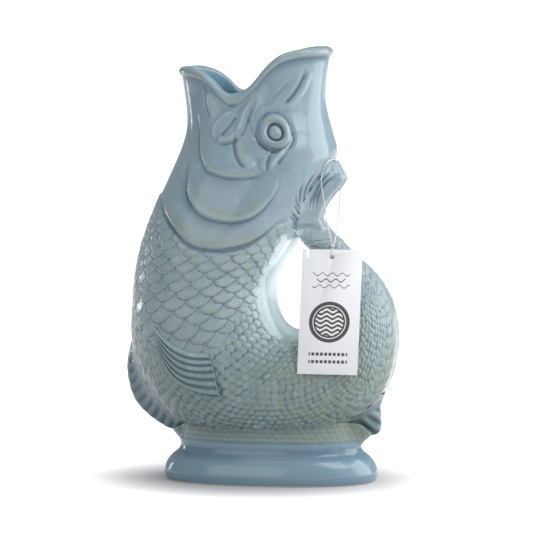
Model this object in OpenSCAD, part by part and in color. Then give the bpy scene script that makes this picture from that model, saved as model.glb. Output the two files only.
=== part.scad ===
// Fish-shaped gurgling jug: one glazed ceramic casting, laid out as the clay forms
// that it is made up of, with a swing tag that hangs from the tail fin on a loop of string.
// Millimetres, +Z up, the mouth end of the belly toward -X, the tail toward +X.

/* [Fish] */
// Length of the fish from belly to tail bend
fish_length = 180; // [120:1:260]
// Height of the fish above the plinth
fish_height = 258; // [180:1:360]
// Width of the fish across the gills
fish_width = 104; // [70:1:150]
// Thickness of the ceramic wall
wall = 5; // [3:0.5:7]
// How far the rolled lip stands out at the mouth
lip_out = 1.4; // [0:0.2:2.4]
// Depth of the notch at each corner of the mouth
notch_depth = 23.6; // [10:0.2:30]

/* [Plinth] */
// Height of the plinth
plinth_h = 31; // [20:1:45]
// Length of the plinth's neck
neck_length = 122; // [100:1:150]
// Width of the plinth's neck
neck_width = 66; // [50:1:90]
// How far the foot spreads beyond the neck, at each end
foot_spread = 11; // [6:0.5:18]
// How far the neck flares out again under the tail end
neck_flare = 8; // [3:0.5:12]
// Thickness of the plinth's wall
plinth_wall = 6; // [4:0.5:9]
// Thickness of the plinth's top deck
deck_t = 4; // [2.5:0.5:6]
// Distance from the fish's middle to the plinth's middle
plinth_x = 6.4; // [-4:0.2:14]

/* [Fins] */
// Height of the belly fin's highest ray
belly_fin_h = 14.5; // [6:0.5:20]
// Height of the vent fin's highest ray
vent_fin_h = 15.5; // [8:0.5:20]
// Height of the side fins' trailing edge
side_fin_h = 4.6; // [2:0.2:7]
// Reach of the tail fin's tip behind the head
tail_fin_reach = 13.2; // [8:0.2:18]
// Height of a fin ray above the web beside it
ray_h = 1.2; // [0.4:0.1:2]

/* [Skin] */
// Height of a large scale at its free edge
scale_h = 1.2; // [0.4:0.1:2]
// Height of the collar's edge behind the head
collar_h = 1.3; // [0.4:0.1:2.4]

/* [Head] */
// Height of the ring round the eye
eye_h = 2.8; // [1:0.1:4]
// Thickness of the gill cover at its free edge
gill_t = 2.2; // [1:0.1:4]

/* [Tag] */
// Width of the tag
tag_w = 40; // [25:1:60]
// Height of the tag
tag_h = 83; // [50:1:110]
// Thickness of the card
card_t = 0.6; // [0.4:0.1:1.2]
// Diameter of the punched hole
hole_d = 2.9; // [2.4:0.1:5]
// Distance from the card's top edge to the hole's centre
hole_drop = 4.9; // [3.4:0.1:8]
// Angle at which the tag leans on the tail
tag_lean = 14.2; // [8:0.2:20]
// Diameter of the string
string_d = 0.8; // [0.6:0.1:1.2]
// Diameter of the knot
knot_d = 2.4; // [1.8:0.1:3.2]

/* [Hidden] */

glaze = [0.58, 0.67, 0.71];
card_white = [0.92, 0.92, 0.93];
string_white = [0.95, 0.94, 0.91];

// Clearance under each laid-on form
seat_gap = 0.3;
// Least thickness of a laid-on form at its border
border_t = 0.6;
// Overrun of a cut
overrun = 1;
// Slope of a table at its first and last row
end_slope = 0;

// Sections of the fish from mouth to tail: belly point and back point as shares of
// fish_length and fish_height, half width as a share of fish_width / 2, and roundness of the oval.
section_shares = [
    [-0.305,  0.945, 0.262, 0.998, 0.560, 2.0],
    [-0.288,  0.884, 0.242, 0.918, 0.540, 2.1],
    [-0.278,  0.829, 0.240, 0.849, 0.600, 2.2],
    [-0.278,  0.783, 0.262, 0.783, 0.700, 2.2],
    [-0.296,  0.736, 0.280, 0.729, 0.790, 2.2],
    [-0.333,  0.675, 0.256, 0.679, 0.885, 2.2],
    [-0.400,  0.570, 0.189, 0.581, 0.980, 2.2],
    [-0.453,  0.461, 0.120, 0.477, 1.000, 2.2],
    [-0.475,  0.345, 0.057, 0.391, 0.980, 2.2],
    [-0.474,  0.225, 0.060, 0.330, 0.945, 2.2],
    [-0.400,  0.093, 0.083, 0.291, 0.905, 2.2],
    [-0.212, -0.010, 0.117, 0.273, 0.865, 2.2],
    [ 0.010, -0.035, 0.144, 0.271, 0.840, 2.2],
    [ 0.239, -0.012, 0.175, 0.275, 0.805, 2.2],
    [ 0.440,  0.090, 0.208, 0.289, 0.720, 2.2],
    [ 0.508,  0.209, 0.240, 0.330, 0.610, 2.1],
    [ 0.500,  0.320, 0.253, 0.375, 0.520, 2.1],
    [ 0.444,  0.403, 0.237, 0.425, 0.440, 2.1],
    [ 0.347,  0.469, 0.186, 0.475, 0.355, 2.1],
    [ 0.289,  0.510, 0.153, 0.500, 0.315, 2.1],
];
// Drop of the lip below the line from jaw to jaw, by angle from the lower jaw
lip_drop_shares = [[0, 0], [30, 0.02], [42, 0.09], [53, 0.25], [62, 0.5], [69, 0.8], [76, 0.98],
                   [82, 1], [88, 0.9], [94, 0.7], [101, 0.4], [108, 0.16], [116, 0],
                   [130, -0.07], [150, -0.05], [180, 0]];
// How much of that drop the first sections keep
notch_shares = [1, 0.35, 0.05];

// Places along the run from mouth (0) to tail end (1)
split_share = 0.63;
cavity_end_share = 0.94;
lip_shares = [0, 0.006, 0.014, 0.026];
lip_roll_shares = [0, 1, 1, 0.35];
sides = 48;
tail_rings = 20;

runs = len(section_shares) - 1;
half_turn = 180;
full_turn = 360;
quarter_turn = 90;

function section_size(row) = [
    row[0] * fish_length, plinth_h + row[1] * fish_height,
    row[2] * fish_length, plinth_h + row[3] * fish_height,
    row[4] * fish_width / 2, row[5]];
sections = [for (row = section_shares) section_size(row)];

// A table continued one step past each end
function past_end(rows, k) =
    k < 0 ? 2 * rows[0] - rows[1] :
    k > len(rows) - 1 ? 2 * rows[len(rows) - 1] - rows[len(rows) - 2] : rows[k];
function notch_of(k) =
    k < 0 ? 2 * notch_shares[0] - notch_shares[1] : k < len(notch_shares) ? notch_shares[k] : 0;
function spline(a, b, c, d, u) =
    (2 * b + (c - a) * u + (2 * a - 5 * b + 4 * c - d) * u * u
     + (3 * b - a - 3 * c + d) * u * u * u) / 2;
function section_at(run) =
    let (s = run * runs, i = min(max(floor(s), 0), runs - 1), u = s - i)
    spline(past_end(sections, i - 1), sections[i], sections[i + 1], past_end(sections, i + 2), u);
function notch_at(run) =
    let (s = run * runs, i = min(max(floor(s), 0), runs - 1), u = s - i)
    spline(notch_of(i - 1), notch_of(i), notch_of(i + 1), notch_of(i + 2), u);

// Smooth reading of a table of [place, value]
function slope(rows, k) =
    k == 0 || k == len(rows) - 1 ? end_slope :
    (rows[k + 1][1] - rows[k - 1][1]) / (rows[k + 1][0] - rows[k - 1][0]);
function read(rows, x) =
    let (
        last = len(rows) - 1,
        at = min(max(x, rows[0][0]), rows[last][0]),
        i = min(max([for (k = [0:last]) if (rows[k][0] <= at) k]), last - 1),
        h = rows[i + 1][0] - rows[i][0],
        u = (at - rows[i][0]) / h)
    (2 * pow(u, 3) - 3 * u * u + 1) * rows[i][1] + (pow(u, 3) - 2 * u * u + u) * h * slope(rows, i)
    + (3 * u * u - 2 * pow(u, 3)) * rows[i + 1][1] + (pow(u, 3) - u * u) * h * slope(rows, i + 1);

function signed_power(v, p) = sign(v) * pow(abs(v), p);
function wrapped(t) = abs((t + half_turn + full_turn) % full_turn - half_turn);
// A point at run and angle t, moved out by lift and kept above floor_z; t = 0 is the
// belly, 180 the back, and angles up to 180 are on the left side of the fish (-Y).
function skin(run, t, lift, floor_z) =
    let (
        s = section_at(run),
        belly = [s[0], 0, s[1]],
        back = [s[2], 0, s[3]],
        across = (back - belly) / norm(back - belly),
        half_l = norm(back - belly) / 2 + lift,
        half_w = s[4] + lift,
        p = (belly + back) / 2
            - across * half_l * signed_power(cos(t), 2 / s[5])
            - [0, half_w * signed_power(sin(t), 2 / s[5]), 0],
        drop = read(lip_drop_shares, wrapped(t)) * notch_depth * notch_at(run))
    [p[0], p[1], max(p[2] - drop, floor_z)];

function angles(n) = [for (k = [0:n - 1]) full_turn * k / n];
function loop(run, lift, floor_z) = [for (t = angles(sides)) skin(run, t, lift, floor_z)];
function flat(lists) = [for (part = lists) each part];

// Triangles between ring a and ring b of n points, each starting at that index
function strip(a, b, n, flip = false) = flat([for (k = [0:n - 1])
    let (m = (k + 1) % n)
    flip ? [[a + k, b + k, b + m], [a + k, b + m, a + m]]
         : [[a + k, b + m, b + k], [a + k, a + m, b + m]]]);
function strips(first, count, n, flip = false) =
    flat([for (k = [0:count - 2]) strip(first + k * n, first + (k + 1) * n, n, flip)]);

module shell(outer, inner, closed_in, closed_out) {
    n = len(outer[0]);
    outer_count = len(outer);
    inner_count = len(inner);
    inner_first = outer_count * n;
    inner_last = inner_first + (inner_count - 1) * n;
    outer_last = (outer_count - 1) * n;
    points = concat(flat(outer), flat(inner));
    polyhedron(points, concat(
        strips(0, outer_count, n),
        strips(inner_first, inner_count, n, true),
        strip(0, inner_first, n, true),
        closed_in ? [[for (k = [0:n - 1]) inner_last + n - 1 - k]] : [],
        closed_out ? [[for (k = [0:n - 1]) outer_last + k]] : [],
        closed_in ? [] : strip(outer_last, inner_last, n)));
}

// Edge of the collar and end of the large scales: place along the run, by angle
collar_shares = [[0, 0.285], [25, 0.294], [45, 0.312], [62, 0.331], [75, 0.346], [85, 0.354],
                 [95, 0.357], [106, 0.356], [117, 0.352], [126, 0.343], [133, 0.33], [138, 0.316]];
scale_end_shares = [[0, 0.43], [20, 0.435], [45, 0.44], [61, 0.445], [72, 0.468], [85, 0.49],
                    [96, 0.5], [106, 0.505], [118, 0.488], [127, 0.472], [140, 0.45]];
// How far ahead of its edge the collar fades out, and one scale's length
collar_fade_share = 0.018;
scale_share = 0.0206;
// Angle past which the back is smooth
smooth_from = 144;
// Parts of a scale's length: drop of its free edge, and bow of that edge to each side
drop_share = 0.05;
bow_share = 0.19;
// Height that a scale keeps at its corners
corner_share = 0.15;

// Lift of the collar and the scales at run and angle t, where raised is a scale's own part
function relief(run, t, raised) =
    let (turn = wrapped(t), collar = read(collar_shares, turn))
    turn > smooth_from ? 0 :
    run <= collar ? collar_h * exp(-pow((collar - run) / collar_fade_share, 2)) :
    run >= read(scale_end_shares, turn) ? 0 :
    scale_h * raised;
// Ring along the free edges of half row j of the staggered scales
function scale_ring(j, drop) = [for (t = angles(sides))
    let (
        end = cos(half_turn * (j + t * sides / full_turn)),
        run = (j / 2 + end * bow_share + drop) * scale_share)
    skin(run, t, relief(run, t, drop > 0 ? 0 : end > 0 ? 1 : corner_share), plinth_h)];
function relief_ring(at) = [for (t = angles(sides))
    skin(at[0], t, at[1] + relief(at[0], t, 0), plinth_h)];

lip_runs = [for (k = [0:len(lip_shares) - 1]) [lip_shares[k], lip_out * lip_roll_shares[k]]];
function steps(from, to, count) = [for (k = [1:count]) [from + (to - from) * k / count, 0]];
// Half rows of scales, from head to belly
first_row = 28;
last_row = 49;
outer_rings = concat(
    [for (at = concat(lip_runs, steps(lip_shares[3], (first_row / 2 - 0.5) * scale_share, 13)))
        relief_ring(at)],
    [for (j = [first_row:last_row]) for (drop = [0, drop_share]) scale_ring(j, drop)],
    [for (at = steps((last_row / 2 + 0.5) * scale_share, split_share, 5)) relief_ring(at)]);
inner_runs = concat(lip_runs, steps(lip_shares[3], split_share, 20));

module body() {
    color(glaze)
    shell(
        outer_rings,
        [for (at = inner_runs) loop(at[0], -wall, plinth_h + wall)],
        false, false);
}

module tail() {
    outer = [for (k = [0:tail_rings]) split_share + (1 - split_share) * k / tail_rings];
    inner = [for (k = [0:tail_rings])
        split_share + (cavity_end_share - split_share) * k / tail_rings];
    color(glaze)
    shell(
        [for (run = outer) loop(run, 0, plinth_h)],
        [for (run = inner) loop(run, -wall, plinth_h + wall)],
        true, true);
}

// Tail fin: the place on the head's back, the reach of the free edge as a share of
// tail_fin_reach, and the angle that the root spreads to each side
fin_rows = [
    [0.3415, 1.45, 17.5], [0.3310, 0.93, 20], [0.3215, 0.72, 23], [0.3095, 0.69, 25.5],
    [0.2970, 0.80, 25], [0.2850, 0.98, 23], [0.2730, 1.00, 19.5], [0.2590, 0.62, 15],
    [0.2380, 0.20, 9]];
fin_sides = 24;
// Thickness of the fin from its root to its free edge
fin_taper_shares = [[0, 1], [0.16, 0.78], [0.33, 0.6], [0.5, 0.48], [0.67, 0.4], [0.84, 0.29], [1, 0]];

function fin_point(row, t) =
    let (
        side = t > half_turn ? -1 : 1,
        turn = wrapped(t),
        root = skin(row[0], half_turn - side * row[2], seat_gap, plinth_h),
        tip = skin(row[0], half_turn, seat_gap, plinth_h) + [row[1] * tail_fin_reach, 0, 0],
        free = (quarter_turn - min(turn, quarter_turn)) / quarter_turn)
    turn >= quarter_turn
        ? skin(row[0], half_turn - side * row[2] * (half_turn - turn) / quarter_turn,
               seat_gap, plinth_h)
        : [root[0] + (tip[0] - root[0]) * free, root[1] * read(fin_taper_shares, free),
           root[2] + (tip[2] - root[2]) * free];

module tail_fin() {
    rings = concat(
        [[for (t = angles(fin_sides)) skin(1, t, 0, plinth_h)]],
        [for (row = fin_rows) [for (t = angles(fin_sides)) fin_point(row, t)]]);
    last = (len(rings) - 1) * fin_sides;
    color(glaze)
    polyhedron(flat(rings), concat(
        strips(0, len(rings), fin_sides),
        [[for (k = [0:fin_sides - 1]) fin_sides - 1 - k]],
        [[for (k = [0:fin_sides - 1]) last + k]]));
}

// Plinth: height as a share of plinth_h and spread as a share of foot_spread, from the
// narrowest part of the neck down to the foot
plinth_shares = [[0.74, 0], [0.64, 0.13], [0.53, 0.5], [0.4, 0.8], [0.23, 1],
                 [0.12, 0.97], [0.03, 0.87], [0, 0.79]];
// Above it: height, and flare as a share of the one at the top
flare_shares = [[0.91, 0.5], [0.82, 0.15]];
// Flare at the top as a share of neck_flare, by angle from the tail end
flare_by_angle_shares = [[0, 1], [25, 0.8], [45, 0.45], [90, 0.4], [135, 0.45], [160, 0.6], [180, 0.65]];
// Rise of the top edge along the fish's underside, as a share of fish_height, by angle;
// none under the two midline fins
cradle_shares = [[0, 0], [20, 0], [32, 0.035], [45, 0.027], [60, 0.0165], [75, 0.0115], [90, 0.0095],
                 [105, 0.0075], [120, 0.0085], [135, 0.0145], [146, 0.018], [158, 0], [180, 0]];
cradle_wall = 3;
plinth_sides = 72;
plinth_round = 2.2;
foot_spread_w_share = 0.67;

function oval(half_l, half_w, z) = [for (t = angles(plinth_sides))
    [plinth_x + half_l * signed_power(cos(t), 2 / plinth_round),
     half_w * signed_power(sin(t), 2 / plinth_round), z]];
function plinth_oval(row, inset) = oval(
    neck_length / 2 + row[1] * foot_spread - inset,
    neck_width / 2 + row[1] * foot_spread * foot_spread_w_share - inset, row[0] * plinth_h);
function flared_oval(height, share, inset, risen) = [for (t = angles(plinth_sides))
    let (flare = neck_flare * read(flare_by_angle_shares, wrapped(t)) * share - inset)
    [plinth_x + (neck_length / 2 + flare) * signed_power(cos(t), 2 / plinth_round),
     (neck_width / 2 + flare) * signed_power(sin(t), 2 / plinth_round),
     height * plinth_h + risen * fish_height * read(cradle_shares, wrapped(t))]];

module plinth() {
    rings = concat(
        [flared_oval(1, 1, 0, 1)],
        [for (row = flare_shares) flared_oval(row[0], row[1], 0, 0)],
        [for (row = plinth_shares) plinth_oval(row, 0)],
        [for (k = [len(plinth_shares) - 1:-1:0]) plinth_oval(plinth_shares[k], plinth_wall)],
        [plinth_oval([1 - deck_t / plinth_h, 0], plinth_wall)]);
    top = flared_oval(1, 1, cradle_wall, 0);
    n = plinth_sides;
    last = (len(rings) - 1) * n;
    first = last + n;
    color(glaze)
    polyhedron(concat(flat(rings), top), concat(
        strips(0, len(rings), n),
        strip(first, 0, n),
        [[for (k = [0:n - 1]) first + n - 1 - k]],
        [[for (k = [0:n - 1]) last + k]]));
}

// A form laid on the skin: a grid of [run, angle, thickness]
module laid_on(grid) {
    rows = len(grid);
    cols = len(grid[0]);
    count = rows * cols;
    low = plinth_h + seat_gap;
    under = [for (line = grid) for (c = line) skin(c[0], c[1], seat_gap, low)];
    over = [for (line = grid) for (c = line)
        skin(c[0], c[1], seat_gap + max(c[2], border_t), low + border_t)];
    quads = [for (i = [0:rows - 2]) for (j = [0:cols - 2])
        [i * cols + j, (i + 1) * cols + j, (i + 1) * cols + j + 1, i * cols + j + 1]];
    edge = concat(
        [for (j = [0:cols - 2]) [j, j + 1]],
        [for (i = [0:rows - 2]) [i * cols + cols - 1, (i + 1) * cols + cols - 1]],
        [for (j = [cols - 1:-1:1]) [(rows - 1) * cols + j, (rows - 1) * cols + j - 1]],
        [for (i = [rows - 1:-1:1]) [i * cols, (i - 1) * cols]]);
    polyhedron(concat(under, over), concat(
        flat([for (q = quads) [[q[0], q[1], q[2]], [q[0], q[2], q[3]]]]),
        flat([for (q = quads) [[q[2], q[1], q[0]] + [count, count, count],
                               [q[3], q[2], q[0]] + [count, count, count]]]),
        flat([for (e = edge) [[e[0], e[1], e[1] + count], [e[0], e[1] + count, e[0] + count]]])));
}

// Height of a midline fin from root to crest, by angle from the midline
crest_shares = [[0, 1], [2.5, 0.9], [6, 0.45], [11, 0.14], [16, 0.03]];
crest_angles = [-16, -11, -8, -6, -4, -2.5, 0, 2.5, 4, 6, 8, 11, 16];

module midline_fin(rows, height) {
    color(glaze)
    laid_on([for (row = rows) [for (t = crest_angles)
        [row[0], t, row[1] * height * read(crest_shares, abs(t))]]]);
}

// Place along the run and height as a share of the fin's highest ray
belly_fin_rows = [[0.462, 0.04], [0.475, 0.3], [0.490, 0.62], [0.505, 0.82], [0.520, 0.94],
                  [0.535, 0.87], [0.550, 0.7], [0.560, 0.5], [0.567, 0.4]];
vent_fin_rows = [[0.697, 0.24], [0.705, 0.52], [0.714, 0.86], [0.720, 1], [0.725, 0.8],
                 [0.730, 0.46], [0.735, 0.2], [0.745, 0.04]];

module belly_fin() midline_fin(belly_fin_rows, belly_fin_h);
module vent_fin() midline_fin(vent_fin_rows, vent_fin_h);

// Edges of a side fin from root (0) to trailing edge (1): place along the run, and angle
fin_top_runs = [[0, 0.453], [0.33, 0.477], [0.67, 0.498], [1, 0.512]];
fin_top_angles = [[0, 61], [0.33, 72], [0.67, 85], [1, 96]];
fin_low_runs = [[0, 0.480], [0.33, 0.510], [0.67, 0.541], [1, 0.570]];
fin_low_angles = [[0, 63], [0.33, 64], [0.67, 69], [1, 81]];
side_fin_rays = 6;
ray_steps = 4;
side_fin_rows = 7;
root_h_share = 0.35;

function mix(a, b, u) = a + (b - a) * u;
function side_fin_cell(u, v, side) = [
    mix(read(fin_top_runs, u), read(fin_low_runs, u), v),
    side * mix(read(fin_top_angles, u), read(fin_low_angles, u), v),
    side_fin_h * mix(root_h_share, 1, u) - ray_h * u * (1 + cos(full_turn * side_fin_rays * v)) / 2];

module side_fin(side) {
    steps = side_fin_rays * ray_steps;
    color(glaze)
    laid_on([for (i = [0:side_fin_rows]) [for (j = [0:steps])
        let (across = side > 0 ? steps - j : j)
        side_fin_cell(i / side_fin_rows, across / steps, side)]]);
}

module side_fin_left() side_fin(1);
module side_fin_right() side_fin(-1);

// Gill cover: its free lower edge by angle, and its upper edge
gill_low_runs = [[52, 0.262], [59, 0.288], [77, 0.310], [95, 0.320], [110, 0.312], [118, 0.298], [122, 0.280]];
gill_top_run = 0.215;
gill_first = 52;
gill_last = 122;
gill_cols = 16;
gill_rows = 5;
gill_root_share = 0.3;

module gill_cover(side) {
    color(glaze)
    laid_on([for (i = [0:gill_rows]) [for (j = [0:gill_cols])
        let (
            across = side > 0 ? j : gill_cols - j,
            t = mix(gill_first, gill_last, across / gill_cols),
            u = i / gill_rows)
        [mix(gill_top_run, read(gill_low_runs, t), u), side * t,
         gill_t * mix(gill_root_share, 1, u)]]]);
}

module gill_cover_left() gill_cover(1);
module gill_cover_right() gill_cover(-1);

// Eye: centre on the skin, spread along the run and round it, and profile by radius
eye_run = 0.153;
eye_angle = 108;
eye_run_spread = 0.045;
eye_angle_spread = 14;
eye_shares = [[0, 0.95], [0.2, 0.9], [0.38, 0.55], [0.48, 0.25], [0.6, 0.7], [0.75, 1], [0.9, 0.75], [1, 0.2]];
eye_sides = 24;

module eye(side) {
    radii = [for (k = [1:len(eye_shares) - 1]) eye_shares[k]];
    n = eye_sides;
    rings = len(radii);
    spread = function (r, phi) [
        eye_run + eye_run_spread * r * cos(phi),
        side * (eye_angle + eye_angle_spread * r * sin(phi))];
    at = function (r, phi, lift)
        let (c = spread(r, phi))
        skin(c[0], c[1], lift, plinth_h);
    over = [for (row = radii) for (phi = angles(n))
        at(row[0], phi, seat_gap + max(eye_h * row[1], border_t))];
    under = [for (row = radii) for (phi = angles(n)) at(row[0], phi, seat_gap)];
    centre = 2 * rings * n;
    tips = [at(0, 0, seat_gap + eye_h * eye_shares[0][1]), at(0, 0, seat_gap)];
    outer_over = (rings - 1) * n;
    outer_under = centre - n;
    turned = side < 0;
    faces = concat(
        strips(0, rings, n, turned),
        strips(rings * n, rings, n, !turned),
        strip(outer_over, outer_under, n, turned),
        [for (k = [0:n - 1])
            let (m = (k + 1) % n)
            turned ? [centre, k, m] : [centre, m, k]],
        [for (k = [0:n - 1])
            let (m = (k + 1) % n, a = rings * n)
            turned ? [centre + 1, a + m, a + k] : [centre + 1, a + k, a + m]]);
    color(glaze)
    polyhedron(concat(over, under, tips), faces);
}

module eye_left() eye(1);
module eye_right() eye(-1);

// Tag: the middle of its top edge, on the card's back face, as shares of fish_length, half of
// fish_width and fish_height
tag_top_shares = [0.288, -0.404, 0.485];
tag_top = [tag_top_shares[0] * fish_length, tag_top_shares[1] * fish_width / 2,
           plinth_h + tag_top_shares[2] * fish_height];
// Height of the knot's centre over the card's top edge
knot_rise = knot_d;
knot_sides = 24;
string_sides = 8;

// Rings square to a path of points
function tangent(path, k, closed) =
    let (
        n = len(path),
        before = closed ? path[(k + n - 1) % n] : path[max(k - 1, 0)],
        after = closed ? path[(k + 1) % n] : path[min(k + 1, n - 1)])
    (after - before) / norm(after - before);
function side_of(direction) =
    let (raw = cross(direction, [1, 0, 0]))
    raw / norm(raw);
function round_section(centre, direction, radius) =
    let (
        u = side_of(direction),
        v = cross(direction, u))
    [for (t = angles(string_sides)) centre + radius * (u * cos(t) + v * sin(t))];

module tube(path, diameter) {
    n = string_sides;
    last = (len(path) - 1) * n;
    rings = [for (k = [0:len(path) - 1])
        round_section(path[k], tangent(path, k, false), diameter / 2)];
    polyhedron(flat(rings), concat(
        strips(0, len(rings), n, true),
        [[for (k = [0:n - 1]) k]],
        [[for (k = [0:n - 1]) last + n - 1 - k]]));
}

module closed_tube(path, diameter) {
    n = string_sides;
    rings = [for (k = [0:len(path) - 1])
        round_section(path[k], tangent(path, k, true), diameter / 2)];
    polyhedron(flat(rings), concat(
        strips(0, len(rings), n, true),
        strip((len(path) - 1) * n, 0, n, true)));
}

// Route of the string: from the knot up the near side, over the fin, and back down
// the far side to the knot
string_route = [
    [51.0, -20.3, 159.8], [50.2, -19.8, 163.4], [48.8, -18.8, 168.4], [47.6, -17.8, 173.0],
    [46.6, -16.8, 178.0], [45.8, -16.0, 184.0], [44.5, -15.5, 190.0], [43.6, -15.4, 195.0],
    [43.2, -15.8, 199.0], [43.3, -16.3, 203.0], [44.1, -16.9, 207.0], [45.6, -17.6, 211.0],
    [47.5, -16.0, 213.8], [49.2, -10.4, 214.6], [50.0, -5.0, 214.6], [50.4, 0.0, 214.6],
    [50.6, 4.0, 214.2], [51.0, 7.2, 211.6], [51.4, 8.8, 207.0], [51.8, 9.2, 202.0],
    [52.0, 7.8, 197.0], [52.0, 5.5, 191.0], [52.2, 2.5, 184.0], [52.2, -1.5, 177.0],
    [52.3, -6.5, 170.5], [52.4, -12.6, 164.6], [52.3, -19.5, 159.5]];
curve_steps = 3;
function curve_through(route) =
    let (last = len(route) - 1)
    concat([for (i = [0:last - 1]) for (k = [0:curve_steps - 1])
        spline(past_end(route, i - 1), route[i], route[i + 1], past_end(route, i + 2), k / curve_steps)],
        [route[last]]);

module tag_string() {
    color(string_white)
    tube(curve_through(string_route), string_d);
}

// Places on the tag, measured down the leaning card from the middle of its top edge
module on_tag() {
    translate(tag_top)
    rotate([-tag_lean, 0, 0])
    children();
}

module string_knot() {
    color(string_white)
    on_tag()
    translate([0, -card_t / 2, knot_rise])
    sphere(d = knot_d, $fn = knot_sides);
}

// The bight of string that goes through the hole and over the card's top edge
loop_gap = 0.35;
loop_steps = 24;
loop_power = 0.6;
module tag_loop() {
    low = -hole_drop;
    high = knot_rise - knot_d / 2 - seat_gap - string_d / 2;
    middle = (high + low) / 2;
    half_z = (high - low) / 2;
    half_y = card_t / 2 + loop_gap + string_d / 2;
    path = [for (a = angles(loop_steps))
        [0, half_y * signed_power(sin(a), loop_power) - card_t / 2,
         middle + half_z * signed_power(cos(a), loop_power)]];
    color(string_white)
    on_tag()
    closed_tube(path, string_d);
}

hole_sides = 32;
module tag_card() {
    color(card_white)
    on_tag()
    difference() {
        translate([-tag_w / 2, -card_t, -tag_h])
        cube([tag_w, card_t, tag_h]);
        translate([0, overrun, -hole_drop])
        rotate([quarter_turn, 0, 0])
        cylinder(h = card_t + 2 * overrun, d = hole_d, $fn = hole_sides);
    }
}

body();
tail();
tail_fin();
plinth();
belly_fin();
vent_fin();
side_fin_left();
side_fin_right();
gill_cover_left();
gill_cover_right();
eye_left();
eye_right();
tag_string();
string_knot();
tag_loop();
tag_card();
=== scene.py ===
"""Fish-shaped gurgling jug: glazed casting, plinth and swing tag, dressed over the CAD frame."""
import logging
import math
from dataclasses import dataclass, field
from enum import Enum
from typing import Any, Sequence

import bpy
import numpy as np
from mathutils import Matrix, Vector


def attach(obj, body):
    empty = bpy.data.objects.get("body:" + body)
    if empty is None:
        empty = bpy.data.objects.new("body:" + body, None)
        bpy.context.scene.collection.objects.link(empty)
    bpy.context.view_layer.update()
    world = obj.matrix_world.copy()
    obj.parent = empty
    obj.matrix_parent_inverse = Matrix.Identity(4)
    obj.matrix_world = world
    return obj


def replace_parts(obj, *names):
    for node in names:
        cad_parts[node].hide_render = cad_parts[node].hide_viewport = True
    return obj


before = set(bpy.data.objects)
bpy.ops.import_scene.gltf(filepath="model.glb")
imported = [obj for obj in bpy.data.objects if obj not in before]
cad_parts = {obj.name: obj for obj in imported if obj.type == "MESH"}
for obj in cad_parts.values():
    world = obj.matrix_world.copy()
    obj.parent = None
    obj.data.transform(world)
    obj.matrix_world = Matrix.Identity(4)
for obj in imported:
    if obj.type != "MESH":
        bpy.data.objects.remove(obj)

LOG = logging.getLogger("jug")
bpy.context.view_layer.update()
MM = 0.001
PHOTO_SIDE = 533
Array = np.ndarray
Points = Sequence[tuple[float, float]]


class Side(Enum):
    """The fish's own left and right."""

    LEFT = 1
    RIGHT = -1


class Bead(Enum):
    """How a carved line changes the clay."""

    GROOVE = "groove"
    RIDGE = "ridge"
    STEP = "step"


def smoothstep(low: float, high: float, x: Array) -> Array:
    """Ease from 0 at low to 1 at high."""
    t = np.clip((x - low) / (high - low), 0, 1)
    return t * t * (3 - 2 * t)


def signed_power(x: Array, p: Array | float) -> Array:
    """Raise the size of x to p and keep its sign."""
    return np.sign(x) * np.abs(x) ** p


def spline(rows: Array, s: Array) -> Array:
    """Read a smooth curve through rows.

    Args:
        rows: Control rows, one per whole number of s.
        s: Places along the rows, from 0 to len(rows) - 1.

    Returns:
        The rows at those places, on a Catmull-Rom curve.
    """
    rows = np.asarray(rows, float)
    padded = np.concatenate([[2 * rows[0] - rows[1]], rows, [2 * rows[-1] - rows[-2]]])
    s = np.asarray(s, float)
    i = np.clip(np.floor(s).astype(int), 0, len(rows) - 2)
    u = (s - i)[..., None] if rows.ndim > 1 else s - i
    a, b, c, d = padded[i], padded[i + 1], padded[i + 2], padded[i + 3]
    return (2 * b + (c - a) * u + (2 * a - 5 * b + 4 * c - d) * u**2
            + (3 * b - a - 3 * c + d) * u**3) / 2


def read(table: Points, x: Array | float) -> Array:
    """Read a table of (place, value) pairs smoothly, flat past its ends.

    Args:
        table: Pairs in rising order of place.
        x: Where to read.

    Returns:
        The values at x.
    """
    at, value = np.array(table, float).T
    slope = np.zeros_like(value)
    slope[1:-1] = (value[2:] - value[:-2]) / (at[2:] - at[:-2])
    x = np.clip(x, at[0], at[-1])
    i = np.clip(np.searchsorted(at, x, side="right") - 1, 0, len(at) - 2)
    h = at[i + 1] - at[i]
    u = (x - at[i]) / h
    return ((2 * u**3 - 3 * u**2 + 1) * value[i] + (u**3 - 2 * u**2 + u) * h * slope[i]
            + (3 * u**2 - 2 * u**3) * value[i + 1] + (u**3 - u**2) * h * slope[i + 1])


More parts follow.
